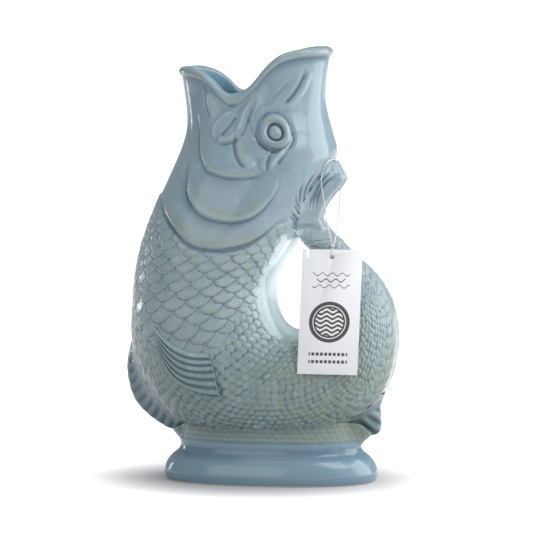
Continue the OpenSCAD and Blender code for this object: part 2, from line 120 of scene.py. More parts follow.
# Sections of the fish from mouth to tail: belly x and z, back x and z, half width, roundness
SECTION_SHARES = (
    (-0.305, 0.945, 0.262, 0.998, 0.560, 2.0), (-0.288, 0.884, 0.242, 0.918, 0.540, 2.1),
    (-0.278, 0.829, 0.240, 0.849, 0.600, 2.2), (-0.278, 0.783, 0.262, 0.783, 0.700, 2.2),
    (-0.296, 0.736, 0.280, 0.729, 0.790, 2.2), (-0.333, 0.675, 0.256, 0.679, 0.885, 2.2),
    (-0.400, 0.570, 0.189, 0.581, 0.980, 2.2), (-0.453, 0.461, 0.120, 0.477, 1.000, 2.2),
    (-0.475, 0.345, 0.057, 0.391, 0.980, 2.2), (-0.474, 0.225, 0.060, 0.330, 0.945, 2.2),
    (-0.400, 0.093, 0.083, 0.291, 0.905, 2.2), (-0.212, -0.010, 0.117, 0.273, 0.865, 2.2),
    (0.010, -0.035, 0.144, 0.271, 0.840, 2.2), (0.239, -0.012, 0.175, 0.275, 0.805, 2.2),
    (0.440, 0.090, 0.208, 0.289, 0.720, 2.2), (0.508, 0.209, 0.240, 0.330, 0.610, 2.1),
    (0.500, 0.320, 0.253, 0.375, 0.520, 2.1), (0.444, 0.403, 0.237, 0.425, 0.440, 2.1),
    (0.347, 0.469, 0.186, 0.475, 0.355, 2.1), (0.289, 0.510, 0.153, 0.500, 0.315, 2.1),
)
LIP_DROP_SHARES = (
    (0, 0), (30, 0.02), (42, 0.09), (53, 0.25), (62, 0.5), (69, 0.8), (76, 0.98), (82, 1),
    (88, 0.9), (94, 0.7), (101, 0.4), (108, 0.16), (116, 0), (130, -0.07), (150, -0.05), (180, 0),
)
NOTCH_SHARES = (1, 0.35, 0.05)


@dataclass(frozen=True)
class FishSkin:
    """The fish's smooth outer form, in shares of its length, height and width.

    A place on it is a run, from 0 at the mouth to 1 at the tail's end, and an angle in
    degrees round the section: 0 is the belly, 180 the back, 1 to 179 the fish's left side.
    """

    length: float = 180 * MM
    height: float = 258 * MM
    width: float = 104 * MM
    seat: float = 31 * MM
    notch: float = 23.6 * MM
    wall: float = 5 * MM

    def sections(self) -> Array:
        """Return the section table in metres."""
        shares = np.array(SECTION_SHARES)
        scale = np.array([self.length, self.height, self.length, self.height, self.width / 2, 1])
        return shares * scale + np.array([0, self.seat, 0, self.seat, 0, 0])

    def at(self, run: Array | float, angle: Array | float, lift: Array | float = 0.0) -> Array:
        """Return points on the skin, moved out by lift.

        Args:
            run: Share of the way from mouth to tail end.
            angle: Degrees round the section.
            lift: Distance outwards, in metres.

        Returns:
            Points, with x, y and z in the last axis.
        """
        run, angle, lift = np.broadcast_arrays(
            np.asarray(run, float), np.asarray(angle, float), np.asarray(lift, float))
        table = self.sections()
        s = spline(table, run * (len(table) - 1))
        notch = np.zeros(len(table))
        notch[:len(NOTCH_SHARES)] = NOTCH_SHARES
        kept = spline(notch, run * (len(table) - 1))
        belly, back = s[..., [0, 1]], s[..., [2, 3]]
        span = np.linalg.norm(back - belly, axis=-1)
        across = (back - belly) / span[..., None]
        turn = np.radians(angle)
        along = -(span / 2 + lift) * signed_power(np.cos(turn), 2 / s[..., 5])
        middle = (belly + back) / 2
        wrapped = np.abs((angle + 180) % 360 - 180)
        drop = read(LIP_DROP_SHARES, wrapped) * self.notch * kept
        return np.stack([
            middle[..., 0] + across[..., 0] * along,
            -(s[..., 4] + lift) * signed_power(np.sin(turn), 2 / s[..., 5]),
            middle[..., 1] + across[..., 1] * along - drop], axis=-1)

    def normal(self, run: Array | float, angle: Array | float) -> Array:
        """Find the skin's outward unit normals.

        Args:
            run: Runs of the places.
            angle: Their angles.

        Returns:
            Normals, with x, y and z in the last axis.
        """
        run = np.asarray(run, float)
        angle = np.asarray(angle, float)
        step_run, step_angle = 0.002, 0.5
        along = self.at(run + step_run, angle) - self.at(run - step_run, angle)
        round_ = self.at(run, angle + step_angle) - self.at(run, angle - step_angle)
        n = np.cross(along, round_)
        return n / np.linalg.norm(n, axis=-1, keepdims=True)

    def raised(self, run: Array | float, angle: Array | float, lift: Array | float) -> Array:
        """Find points over the skin.

        Args:
            run: Runs of their places.
            angle: Angles of their places.
            lift: How far they are moved along the normals, in metres.

        Returns:
            The points, kept above the seat.
        """
        points = self.at(run, angle) + self.normal(run, angle) * np.asarray(lift)[..., None]
        points[..., 2] = np.maximum(points[..., 2], self.seat)
        return points


SKIN = FishSkin()


@dataclass(frozen=True)
class Line:
    """A line carved in or laid on the left flank, mirrored on the right one.

    Attributes:
        kind: Groove, ridge or step.
        places: Points that it goes through, as (run, angle) on the skin.
        height: Depth or height, in millimetres.
        width: Half width of its profile, in millimetres.
        reach: For a step, how far its raised side fades out over, in millimetres.
        ends: Shares of its length over which its start and its end fade in and out.
    """

    kind: Bead
    places: Points
    height: float
    width: float
    reach: float = 20.0
    ends: tuple[float, float] = (0.12, 0.12)


FACE_LINES: tuple[Line, ...] = (
    Line(Bead.STEP, ((0.083, 37), (0.107, 42), (0.135, 45.5), (0.175, 48), (0.215, 54),
                     (0.24, 61.5), (0.254, 67), (0.261, 75), (0.266, 84), (0.267, 92),
                     (0.265, 99), (0.26, 106)), 1.1, 0.9, 16, (0.3, 0.08)),
    Line(Bead.STEP, ((0.215, 41), (0.24, 45), (0.265, 51), (0.284, 58), (0.298, 66), (0.311, 76),
                     (0.319, 86), (0.323, 95), (0.323, 104), (0.319, 112), (0.31, 117.5),
                     (0.297, 120.5), (0.283, 121), (0.268, 118.5), (0.252, 115)),
         1.35, 0.9, 20, (0.22, 0.3)),
    Line(Bead.STEP, ((0.285, 8), (0.294, 25), (0.312, 45), (0.331, 62), (0.346, 75), (0.354, 85),
                     (0.357, 95), (0.356, 106), (0.352, 117), (0.343, 126), (0.33, 133),
                     (0.316, 138)), 1.1, 0.8, 14, (0.3, 0.25)),
    Line(Bead.GROOVE, ((0.143, 83.5), (0.168, 81), (0.19, 80.3), (0.215, 83), (0.236, 87.5),
                       (0.253, 93)), 0.8, 1.2),
    Line(Bead.RIDGE, ((0.16, 85.5), (0.19, 85), (0.215, 88), (0.236, 92.5), (0.25, 98)), 0.6, 2.6),
    Line(Bead.RIDGE, ((0.03, 97), (0.055, 94.5), (0.085, 90.5), (0.12, 86.5), (0.148, 83),
                      (0.168, 78), (0.178, 71), (0.178, 65)), 1.2, 1.9, ends=(0.3, 0.1)),
    Line(Bead.GROOVE, ((0.06, 99), (0.09, 94.5), (0.122, 90.5), (0.152, 87.5), (0.175, 82.5),
                       (0.188, 75), (0.19, 66)), 0.6, 1.2, ends=(0.3, 0.12)),
    Line(Bead.RIDGE, ((0.176, 63.5), (0.152, 62.5), (0.13, 66), (0.113, 73), (0.098, 80),
                      (0.07, 86)), 1.1, 1.3, ends=(0.12, 0.4)),
    Line(Bead.GROOVE, ((0.167, 69), (0.153, 72.5), (0.134, 78), (0.113, 83)), 0.6, 0.9),
    Line(Bead.RIDGE, ((0.158, 121.5), (0.178, 119), (0.197, 114.5), (0.216, 110.5), (0.238, 108.5),
                      (0.262, 110.5)), 1.5, 1.6, ends=(0.15, 0.25)),
    Line(Bead.GROOVE, ((0.19, 108), (0.212, 105), (0.233, 105), (0.258, 108)), 0.6, 0.9),
    Line(Bead.GROOVE, ((0.15, 125), (0.172, 124), (0.198, 119), (0.222, 114), (0.245, 113)),
         0.5, 1.3),
    Line(Bead.RIDGE, ((0.212, 101.5), (0.236, 102), (0.258, 106)), 0.6, 0.9),
    Line(Bead.RIDGE, ((0.03, 144), (0.05, 142), (0.071, 137), (0.094, 128), (0.114, 117.5)),
         0.8, 1.9, ends=(0.35, 0.2)),
    Line(Bead.GROOVE, ((0.03, 140), (0.05, 137.5), (0.078, 128), (0.102, 115.5)), 0.9, 1.9,
         ends=(0.35, 0.2)),
    Line(Bead.GROOVE, ((0.04, 128), (0.06, 120), (0.08, 111), (0.107, 103), (0.13, 99)),
         0.55, 2.2, ends=(0.35, 0.3)),
    Line(Bead.GROOVE, ((0.084, 107), (0.095, 100), (0.107, 96), (0.122, 94), (0.142, 92.5),
                       (0.162, 92)), 0.5, 1.3),
    Line(Bead.RIDGE, ((0.05, 56), (0.077, 57), (0.103, 59.5), (0.12, 63)), 0.6, 1.2),
    Line(Bead.GROOVE, ((0.03, 52), (0.06, 53), (0.09, 55), (0.115, 58)), 0.5, 1.2),
    Line(Bead.GROOVE, ((0.118, 92), (0.135, 91), (0.158, 92), (0.183, 97), (0.199, 105)),
         0.4, 1.4),
)
# Run at which large scales give way to small ones, by angle
SMALL_FROM = ((0, 0.425), (18, 0.425), (30, 0.432), (40, 0.445), (50, 0.462), (62, 0.49),
              (78, 0.53), (92, 0.522), (106, 0.505), (118, 0.488), (127, 0.472), (140, 0.45),
              (180, 0.44))
# Run at which the scales begin behind the collar, by angle
SCALES_FROM = ((0, 0.29), (25, 0.3), (45, 0.318), (62, 0.336), (75, 0.351), (90, 0.361),
               (106, 0.362), (117, 0.358), (126, 0.349), (138, 0.33), (180, 0.33))


# Middle of the eye on the skin, and its reach from there in run and angle
EYE_RUN = 0.157
EYE_ANGLE = 109.0
EYE_RUN_SPREAD = 0.0415
EYE_ANGLE_SPREAD = 12.6


def scatter(a: Array, b: Array, seed: float) -> Array:
    """Return a fixed scatter from -1 to 1 for each pair of whole numbers."""
    x = np.sin(a * 127.1 + b * 311.7 + seed * 74.7) * 4375.85
    return 2 * (x - np.floor(x)) - 1


def close_to(path: Array, points: Array, far: float) -> Array:
    """Return the indices of the points in the box round a path, grown by far on all sides."""
    low, high = path.min(axis=0) - far, path.max(axis=0) + far
    return np.where(((points > low) & (points < high)).all(axis=1))[0]


def follow(path: Array, points: Array, normals: Array | None = None) -> tuple[Array, ...]:
    """Find how points lie to a path.

    Args:
        path: Points of the path.
        points: The points to place.
        normals: Normals of what the path lies on, one for each of its points.

    Returns:
        Distance of each point from the path, how far along it the point lies, from 0 to 1, and
        on which side, as 1 or -1, or 0 where there are no normals.
    """
    best = np.full(len(points), np.inf)
    where = np.zeros(len(points))
    side = np.zeros(len(points))
    for i, (a, b) in enumerate(zip(path[:-1], path[1:])):
        ab = b - a
        u = np.clip((points - a) @ ab / (ab @ ab), 0, 1)
        off = points - (a + u[:, None] * ab)
        d = np.linalg.norm(off, axis=1)
        nearer = d < best
        best = np.where(nearer, d, best)
        where = np.where(nearer, (i + u) / (len(path) - 1), where)
        if normals is not None:
            side = np.where(nearer, np.sign(off @ np.cross(ab, normals[i])), side)
    return best, where, side


def domes(row: Array, across: Array, size: tuple[float, float], vary: float,
          seed: float) -> Array:
    """Lay small rounded scales in rows that are staggered by half a scale.

    Args:
        row: Where each point lies across the rows, in rows.
        across: Where it lies along its row, in scales.
        size: Half a scale's reach along its row and across it.
        vary: How far the scales' heights differ, as a share.
        seed: Which scatter they take.

    Returns:
        Height of each point, about 1 on top of a scale and 0 between them.
    """
    best = np.zeros(row.shape)
    for shift in (0, 1):
        number = np.floor(row) + shift
        along = across + 0.5 * (number % 2)
        cell = np.round(along)
        dome = 1 - ((along - cell) / size[0])**2 - ((row - number) / size[1])**2
        best = np.maximum(best, np.sqrt(np.clip(dome, 0, 1))
                          * (1 + vary * scatter(number, cell, seed)))
    return best


@dataclass(frozen=True)
class TailRibs:
    """The grooves between the ribs that fan from the tail's end over its fin and the head.

    They are drawn as seen from the side, where a point nearer the viewer lies further along.
    Places are in millimetres.
    """

    side_shift: float = 0.1944
    rise_shift: float = 0.0894
    width: float = 0.82
    depth: float = 1.0 * MM
    lines: tuple[Points, ...] = (
        ((25.6, 183.3), (25.8, 188.0), (26.3, 192.7), (27.3, 196.7)),
        ((28.1, 182.3), (28.7, 188.6), (29.8, 194.0), (31.5, 197.3), (34.4, 202.0), (37.2, 205.3)),
        ((30.2, 182.3), (31.0, 187.3), (32.3, 192.0), (33.8, 196.0), (36.2, 199.3), (39.3, 203.0),
         (41.3, 205.3)),
        ((32.0, 182.0), (33.4, 187.0), (34.9, 191.7), (36.6, 195.7), (39.2, 199.3), (41.8, 202.7)),
        ((34.2, 181.6), (35.3, 187.0), (36.8, 192.0), (38.6, 196.0), (40.9, 199.7), (44.1, 203.7),
         (47.4, 206.7)),
        ((36.6, 181.3), (37.6, 187.0), (39.2, 192.0), (41.2, 195.7), (44.1, 199.0), (47.7, 202.0),
         (51.9, 204.0)),
        ((25.8, 180.3), (24.0, 184.3), (22.5, 188.2)),
        ((25.4, 177.0), (21.7, 183.6)),
        ((24.8, 173.0), (20.2, 177.8)),
        ((24.3, 171.0), (19.0, 175.3)),
        ((25.1, 168.7), (20.4, 171.8)),
        ((25.1, 166.9), (19.8, 168.9)),
    )

    def grooves(self, points: Array) -> Array:
        """Return how deep the grooves are at some points, from 0 to 1.

        Args:
            points: Places, with x, y and z in the last axis.

        Returns:
            Depths, one per point.
        """
        side = np.abs(points[..., 1])
        seen = np.stack([points[..., 0] - self.side_shift * side,
                         points[..., 2] - self.rise_shift * side], axis=-1).reshape(-1, 2) / MM
        deep = np.zeros(len(seen))
        for line in self.lines:
            path = spline(np.array(line), np.linspace(0, len(line) - 1, 5 * (len(line) - 1) + 1))
            near = close_to(path, seen, 3)
            best, where, _ = follow(path, seen[near])
            fade = 0.35 + 0.65 * smoothstep(0, 0.25, where) * smoothstep(1, 0.7, where)
            deep[near] = np.maximum(deep[near], np.exp(-(best / self.width)**2) * fade)
        return deep.reshape(side.shape)


RIBS = TailRibs()


@dataclass(frozen=True)
class Carving:
    """The relief of the casting's skin: scales, face lines, gill steps and lip."""

    plate_widths: Points = ((0.30, 6.2), (0.36, 6.8), (0.43, 8.2), (0.50, 10.2), (0.58, 10.8))
    plate_spreads: Points = ((0, 0.62), (25, 0.66), (42, 0.8), (60, 1), (112, 1), (126, 0.8),
                             (140, 0.66), (180, 0.66))
    plate_middle: float = 95.0
    plate_pitch: float = 5.6 * MM
    plate_lengths: Points = ((0.30, 1), (0.38, 1), (0.44, 1.12), (0.50, 1.25), (0.58, 1.28))
    plate_height: float = 1.2 * MM
    pebble_bands: int = 34
    pebble_pitches: Points = ((0.40, 6.4), (0.48, 6.0), (0.56, 5.2), (0.66, 4.6), (0.8, 4.2),
                              (1, 3.4))
    pebble_height: float = 1.15 * MM
    lip_bead: float = 1.3 * MM

    def plates(self, run: Array, angle: Array) -> Array:
        """Height of the large overlapping scales over a grid, in metres.

        Args:
            run: Rows of the grid.
            angle: Columns of the grid, from 0 to 180 degrees.

        Returns:
            Heights, one per row and column.
        """
        fine = np.linspace(0, 1, 800)
        line = SKIN.at(fine, 90.0)
        step = np.linalg.norm(np.diff(line, axis=0), axis=1) / read(self.plate_lengths, fine[1:])
        u = np.interp(run, fine, np.concatenate([[0], np.cumsum(step)]))[:, None]
        spread = (read(self.plate_widths, run)[:, None] * read(self.plate_spreads, angle)[None]
                  * MM)
        places = SKIN.at(run[:, None], angle[None])
        arc = np.linalg.norm(np.diff(places, axis=1), axis=-1)
        column = np.concatenate([np.zeros((len(run), 1)),
                                 np.cumsum(2 * arc / (spread[:, 1:] + spread[:, :-1]), axis=1)],
                                axis=1)
        middle = int(np.argmin(np.abs(angle - self.plate_middle)))
        column = column - column[:, middle:middle + 1] + 40
        period = 2 * self.plate_pitch
        best = np.full(column.shape, np.inf)
        height = np.zeros(column.shape)
        first = np.floor(column)
        for shift in (-1, 0, 1, 2):
            band = first + shift
            offset = 0.5 * (band % 2)
            dv = (column - band) * spread
            base = np.floor(u / period - offset)
            for k in (-1, 0, 1, 2):
                row = base + k
                root = (row + offset + 0.045 * scatter(band, row, 1)) * period
                radius = spread * (1.05 + 0.05 * scatter(band, row, 2))
                du = u - root
                e = np.sqrt((np.maximum(du, 0) / (1.42 * self.plate_pitch))**2
                            + (dv / radius)**2)
                inside = (e < 1) & (root < best)
                d = (1 - e) * 1.3 * self.plate_pitch
                value = ((1 - d / (2.0 * self.plate_pitch)) * smoothstep(-0.2 * MM, 1.5 * MM, d)
                         * (1 - 0.18 * (dv / radius)**2)
                         * (1 + 0.12 * scatter(band, row, 3)))
                height = np.where(inside, value, height)
                best = np.where(inside, root, best)
        return height * self.plate_height

    def band_edges(self) -> Array:
        """Return the angles of the middles of the small scales' bands, closer at the belly."""
        share = np.arange(self.pebble_bands + 1) / self.pebble_bands
        return 180 * (0.72 * share + 0.28 * share**1.9)

    def pebbles(self, run: Array, angle: Array) -> Array:
        """Height of the small rounded scales over a grid, in metres.

        The scales sit in bands along the fish, evenly spaced along each, so that the bend
        takes more of them on its outside.

        Args:
            run: Rows of the grid.
            angle: Columns of the grid, from 0 to 180 degrees.

        Returns:
            Heights, one per row and column.
        """
        fine = np.linspace(0, 1, 900)
        middles = self.band_edges()
        pitch = np.interp(fine, *np.array(self.pebble_pitches).T)
        start = np.searchsorted(fine, 0.42)
        count = np.empty((len(fine), len(middles)))
        for j, middle in enumerate(middles):
            line = SKIN.at(fine, middle)
            step = np.linalg.norm(np.diff(line, axis=0), axis=1) / MM
            wide = 1 + 0.85 * smoothstep(52, 30, np.array(middle))
            counted = np.concatenate([[0], np.cumsum(step / (pitch[1:] * wide))])
            count[:, j] = counted - counted[start] + 0.5 * (j % 2)
        rows = np.array([np.interp(run, fine, count[:, j]) for j in range(len(middles))]).T
        place = np.interp(angle, middles, np.arange(len(middles)))
        first = np.floor(place).astype(int)
        best = np.zeros((len(run), len(angle)))
        for shift in (-1, 0, 1, 2):
            band = np.clip(first + shift, 0, len(middles) - 1)
            along = rows[:, band]
            for k in (0, 1):
                cell = np.floor(along) + k
                number = band[None] + 0 * cell
                du = along - cell - 0.13 * scatter(number, cell, 4)
                across = (place - (first + shift))[None] - 0.12 * scatter(number, cell, 5)
                size = 1 + 0.1 * scatter(number, cell, 6)
                dome = 1 - ((du + 0.06) / (0.58 * size))**2 - (across / (0.66 * size))**2
                value = (np.clip(dome, 0, 1)**0.7 * (1 + 0.2 * scatter(number, cell, 7))
                         * (0.84 + 0.45 * du))
                best = np.maximum(best, value)
        return best * self.pebble_height

    def line_relief(self, line: Line, points: Array) -> tuple[Array, Array]:
        """Height that one carved line gives to some points of the skin.

        Args:
            line: The line.
            points: The points, in metres.

        Returns:
            Indices of the points that it reaches, and their heights in metres.
        """
        control = np.array(line.places, float)
        s = np.linspace(0, len(control) - 1, 10 * (len(control) - 1) + 1)
        path_places = spline(control, s)
        path = SKIN.at(path_places[:, 0], path_places[:, 1])
        far = (line.reach * 2.5 if line.kind is Bead.STEP else 4 * line.width) * MM + 2 * MM
        near = close_to(path, points, far)
        best, where, side = follow(path, points[near],
                                   SKIN.normal(path_places[:, 0], path_places[:, 1]))
        fade = (smoothstep(0, line.ends[0], where) * smoothstep(0, line.ends[1], 1 - where))
        d = best / MM
        if line.kind is Bead.GROOVE:
            height = -np.exp(-(d / line.width)**2)
        elif line.kind is Bead.RIDGE:
            height = np.exp(-(d / line.width)**2)
        else:
            signed = -d * side
            up = smoothstep(-0.5 * line.width, 1.3 * line.width, signed)
            height = (up * np.exp(-(np.maximum(signed, 0) / line.reach)**2)
                      - 0.14 * np.exp(-((signed + 0.7 * line.width) / line.width)**2))
        return near, height * fade * line.height * MM

    def relief(self, q: Array, angle: Array, run: Array) -> Array:
        """Return the height of the whole relief over a grid of the left flank.

        Args:
            q: Run of each point of the grid.
            angle: Columns, from 0 to 180 degrees.
            run: Rows of the grid, which q is close to where there are scales.

        Returns:
            Heights in metres, one per row and column.
        """
        t = np.broadcast_to(angle[None], q.shape)
        flank = smoothstep(152, 143, t)
        begins = smoothstep(-0.001, 0.004, q - read(SCALES_FROM, t))
        small = smoothstep(-0.004, 0.004, q - read(SMALL_FROM, t))
        ridge_free = np.where(q > 0.66, smoothstep(7, 15, t), 1.0)
        ends = smoothstep(1.0, 0.985, q)
        height = begins * flank * ((1 - small) * self.plates(run, angle)
                                   + small * ridge_free * ends * self.pebbles(run, angle))
        lip = SKIN.at(np.zeros_like(q), t)
        places = SKIN.at(q, t)
        depth = np.linalg.norm(places - lip, axis=-1) / MM
        height = height + self.lip_bead * (
            smoothstep(6.4, 4.4, depth) - 0.2 * np.exp(-((depth - 9.0) / 3.0)**2)) * (q < 0.12)
        back = smoothstep(118, 128, t) * (q > 0.2) * (q < 0.4)
        height = height - RIBS.grooves(places) * back * RIBS.depth
        points = places.reshape(-1, 3)
        flat = height.reshape(-1)
        for line in FACE_LINES:
            near, add = self.line_relief(line, points)
            flat[near] += add
        eye = np.hypot((q - EYE_RUN) / EYE_RUN_SPREAD, (t - EYE_ANGLE) / EYE_ANGLE_SPREAD)
        flat -= (1.0 * MM * np.exp(-((eye - 1.1) / 0.15)**2)).reshape(-1)
        hollow = smoothstep(1.08, 0.9, eye).reshape(-1)
        flat[:] = flat * (1 - hollow) - 0.8 * MM * hollow
        return flat.reshape(height.shape)


@dataclass
class Sheet:
    """A grid of points on one side of a shell, with what the finish needs at each.

    Attributes:
        points: Places, as rows, columns, xyz.
        normals: Outward unit normals, in the same shape.
        pool: How high each point stands over its neighbourhood, from 0 to 1.
    """

    points: Array
    normals: Array
    pool: Array

    def rows(self, first: int, last: int) -> "Sheet":
        """Return the rows from first up to and with last."""
        part = slice(first, last + 1)
        return Sheet(self.points[part], self.normals[part], self.pool[part])


def deselect_all() -> None:
    """Deselect every object, so that operators act on the new one alone."""
    if bpy.context.object and bpy.context.object.mode != "OBJECT":
        bpy.ops.object.mode_set(mode="OBJECT")
    bpy.ops.object.select_all(action="DESELECT")


def pick(piece: bpy.types.Object) -> None:
    """Select a piece alone and make it the active one."""
    deselect_all()
    piece.select_set(True)
    bpy.context.view_layer.objects.active = piece


def named(name: str) -> bpy.types.Object:
    """Name the object that was just added, and its mesh, and return it."""
    piece = bpy.context.object
    piece.name = name
    piece.data.name = name
    return piece


def corners(piece: bpy.types.Object) -> Array:
    """Return the points of a piece's mesh."""
    points = np.empty(len(piece.data.vertices) * 3)
    piece.data.vertices.foreach_get("co", points)
    return points.reshape(-1, 3)


def set_corners(piece: bpy.types.Object, points: Array) -> None:
    """Move a piece's points."""
    piece.data.vertices.foreach_set("co", points.ravel())
    piece.data.update()


def grid_normals(points: Array) -> Array:
    """Return unit normals of a grid of points whose last column is next to its first.

    Args:
        points: Rows, columns, xyz.

    Returns:
        Normals that point to the right of a walk along the rows, seen along the columns.
    """
    along = np.gradient(points, axis=0)
    across = np.roll(points, -1, axis=1) - np.roll(points, 1, axis=1)
    n = np.cross(along, across)
    return n / np.maximum(np.linalg.norm(n, axis=-1, keepdims=True), 1e-12)


def outward_normals(points: Array, row: int) -> Array:
    """Return a grid's normals, turned so that they point away from the middle of one row."""
    normals = grid_normals(points)
    off = points[row] - points[row].mean(axis=0)
    return -normals if np.sum(normals[row] * off) < 0 else normals


def softened(height: Array, rows: float, columns: float) -> Array:
    """Blur a grid of heights whose last column is next to its first.

    Args:
        height: The grid.
        rows: Spread along the rows, in rows.
        columns: Spread across, in columns.

    Returns:
        The blurred grid.
    """
    for axis, spread in ((0, rows), (1, columns)):
        reach = int(3 * spread)
        kernel = np.exp(-(np.arange(-reach, reach + 1) / spread)**2 / 2)
        kernel /= kernel.sum()
        mode = "wrap" if axis == 1 else "edge"
        pads = [(0, 0), (0, 0)]
        pads[axis] = (reach, reach)
        padded = np.pad(height, pads, mode=mode)
        total = np.zeros_like(height)
        for k, share in enumerate(kernel):
            total += share * np.take(padded, np.arange(k, k + height.shape[axis]), axis=axis)
        height = total
    return height


def ring_pairs(count: int) -> tuple[Array, Array]:
    """Return the indices round a ring, and those of their next neighbours."""
    j = np.arange(count)
    return j, (j + 1) % count


def quads(rows: int, columns: int, first: int, closed: bool) -> Array:
    """Return the faces between neighbouring rows of a grid.

    Args:
        rows: Rows of the grid.
        columns: Columns of the grid.
        first: Index of its first point.
        closed: Whether the last column is next to the first one.

    Returns:
        Four indices for each face.
    """
    i = np.arange(rows - 1)[:, None] * columns + first
    j = np.arange(columns if closed else columns - 1)[None]
    k = (j + 1) % columns
    return np.stack([i + j, i + k, i + columns + k, i + columns + j], axis=-1).reshape(-1, 4)


def mark_all(mesh: bpy.types.Mesh, mark: str, values: Array) -> None:
    """Give every point of a mesh a value, or a vector where values has two axes.

    Args:
        mesh: The mesh.
        mark: Name of the attribute.
        values: One value or vector per point.
    """
    kind, field_name = ("FLOAT_VECTOR", "vector") if values.ndim == 2 else ("FLOAT", "value")
    layer = mesh.attributes.new(mark, kind, "POINT")
    layer.data.foreach_set(field_name, values.astype(np.float32).ravel())


def fan(ring: Array, after: Array, middle: int) -> Array:
    """Return the triangles between a ring and a middle point, as quads with a doubled index."""
    return np.stack([ring, after, 0 * ring + middle, 0 * ring + middle], axis=1)


def clay_piece(name: str, vertices: Array, faces: Array, normals: Array | None,
               marks: dict[str, Array]) -> bpy.types.Object:
    """Make a mesh piece whose faces point outwards.

    Args:
        name: Name of the piece.
        vertices: Points.
        faces: Quads, as indices; a triangle repeats its last index.
        normals: Normals to shade with, or None for smooth ones.
        marks: Point attributes, by name.

    Returns:
        The new object, at the origin.
    """
    a, b, c, d = (vertices[faces[:, k]] for k in range(4))
    volume = (np.einsum("ij,ij->i", a, np.cross(b, c)).sum()
              + np.einsum("ij,ij->i", a, np.cross(c, d)).sum())
    if volume < 0:
        faces = faces[:, ::-1]
    mesh = bpy.data.meshes.new(name)
    kept = []
    for face in faces.tolist():
        seen: list[int] = []
        for index in face:
            if index not in seen:
                seen.append(index)
        if len(seen) > 2:
            kept.append(seen)
    mesh.from_pydata(vertices.tolist(), [], kept)
    for mark, values in marks.items():
        mark_all(mesh, mark, values)
    mesh.shade_smooth()
    if normals is not None:
        mesh.normals_split_custom_set_from_vertices(normals.tolist())
    mesh.validate()
    piece = bpy.data.objects.new(name, mesh)
    bpy.context.scene.collection.objects.link(piece)
    return piece


def wall_piece(name: str, outer: Sheet, inner: Array, capped: bool) -> bpy.types.Object:
    """Make a closed tube of clay from its outer sheet and its inner grid.

    Args:
        name: Name of the piece.
        outer: The outer sheet, whose first row may be the rim's inner edge.
        inner: Points of the inner side, rows in the same order.
        capped: Whether the inner side ends in a floor instead of an open end.

    Returns:
        The new object, with inner faces in its second material slot.
    """
    rows, columns = outer.points.shape[:2]
    inner_rows = inner.shape[0]
    inner_first = rows * columns
    inner_normals = -grid_normals(inner)
    flip = np.einsum("ijk,ijk->", grid_normals(outer.points), outer.normals) < 0
    inner_normals = -inner_normals if flip else inner_normals
    vertices = np.concatenate([outer.points.reshape(-1, 3), inner.reshape(-1, 3)])
    normals = np.concatenate([outer.normals.reshape(-1, 3), inner_normals.reshape(-1, 3)])
    inner_last = inner_first + (inner_rows - 1) * columns
    outer_last = (rows - 1) * columns
    j, k = ring_pairs(columns)
    faces = [quads(rows, columns, 0, True), quads(inner_rows, columns, inner_first, True)[:, ::-1],
             np.stack([inner_first + j, inner_first + k, k, j], axis=1)]
    if capped:
        for base, turned in ((outer_last, False), (inner_last, True)):
            middle = len(vertices)
            ring = vertices[base:base + columns]
            vertices = np.concatenate([vertices, ring.mean(axis=0, keepdims=True)])
            normals = np.concatenate([normals, normals[base:base + 1] * 0 + [[1, 0, 0]]])
            cap = fan(base + j, base + k, middle)
            faces.append(cap[:, ::-1] if turned else cap)
    else:
        faces.append(np.stack([outer_last + j, outer_last + k, inner_last + k, inner_last + j],
                              axis=1))
    joined = np.concatenate(faces)
    extra = len(vertices) - outer.pool.size
    marks = {"pool": np.concatenate([outer.pool.ravel(), np.full(extra, 0.5)]),
             "rough": np.zeros(len(vertices))}
    piece = clay_piece(name, vertices, joined, normals, marks)
    piece.data.materials.append(None)
    piece.data.materials.append(None)
    inside = np.array([min(p.vertices) >= inner_first for p in piece.data.polygons])
    piece.data.polygons.foreach_set("material_index", inside.astype(np.int32))
    return piece


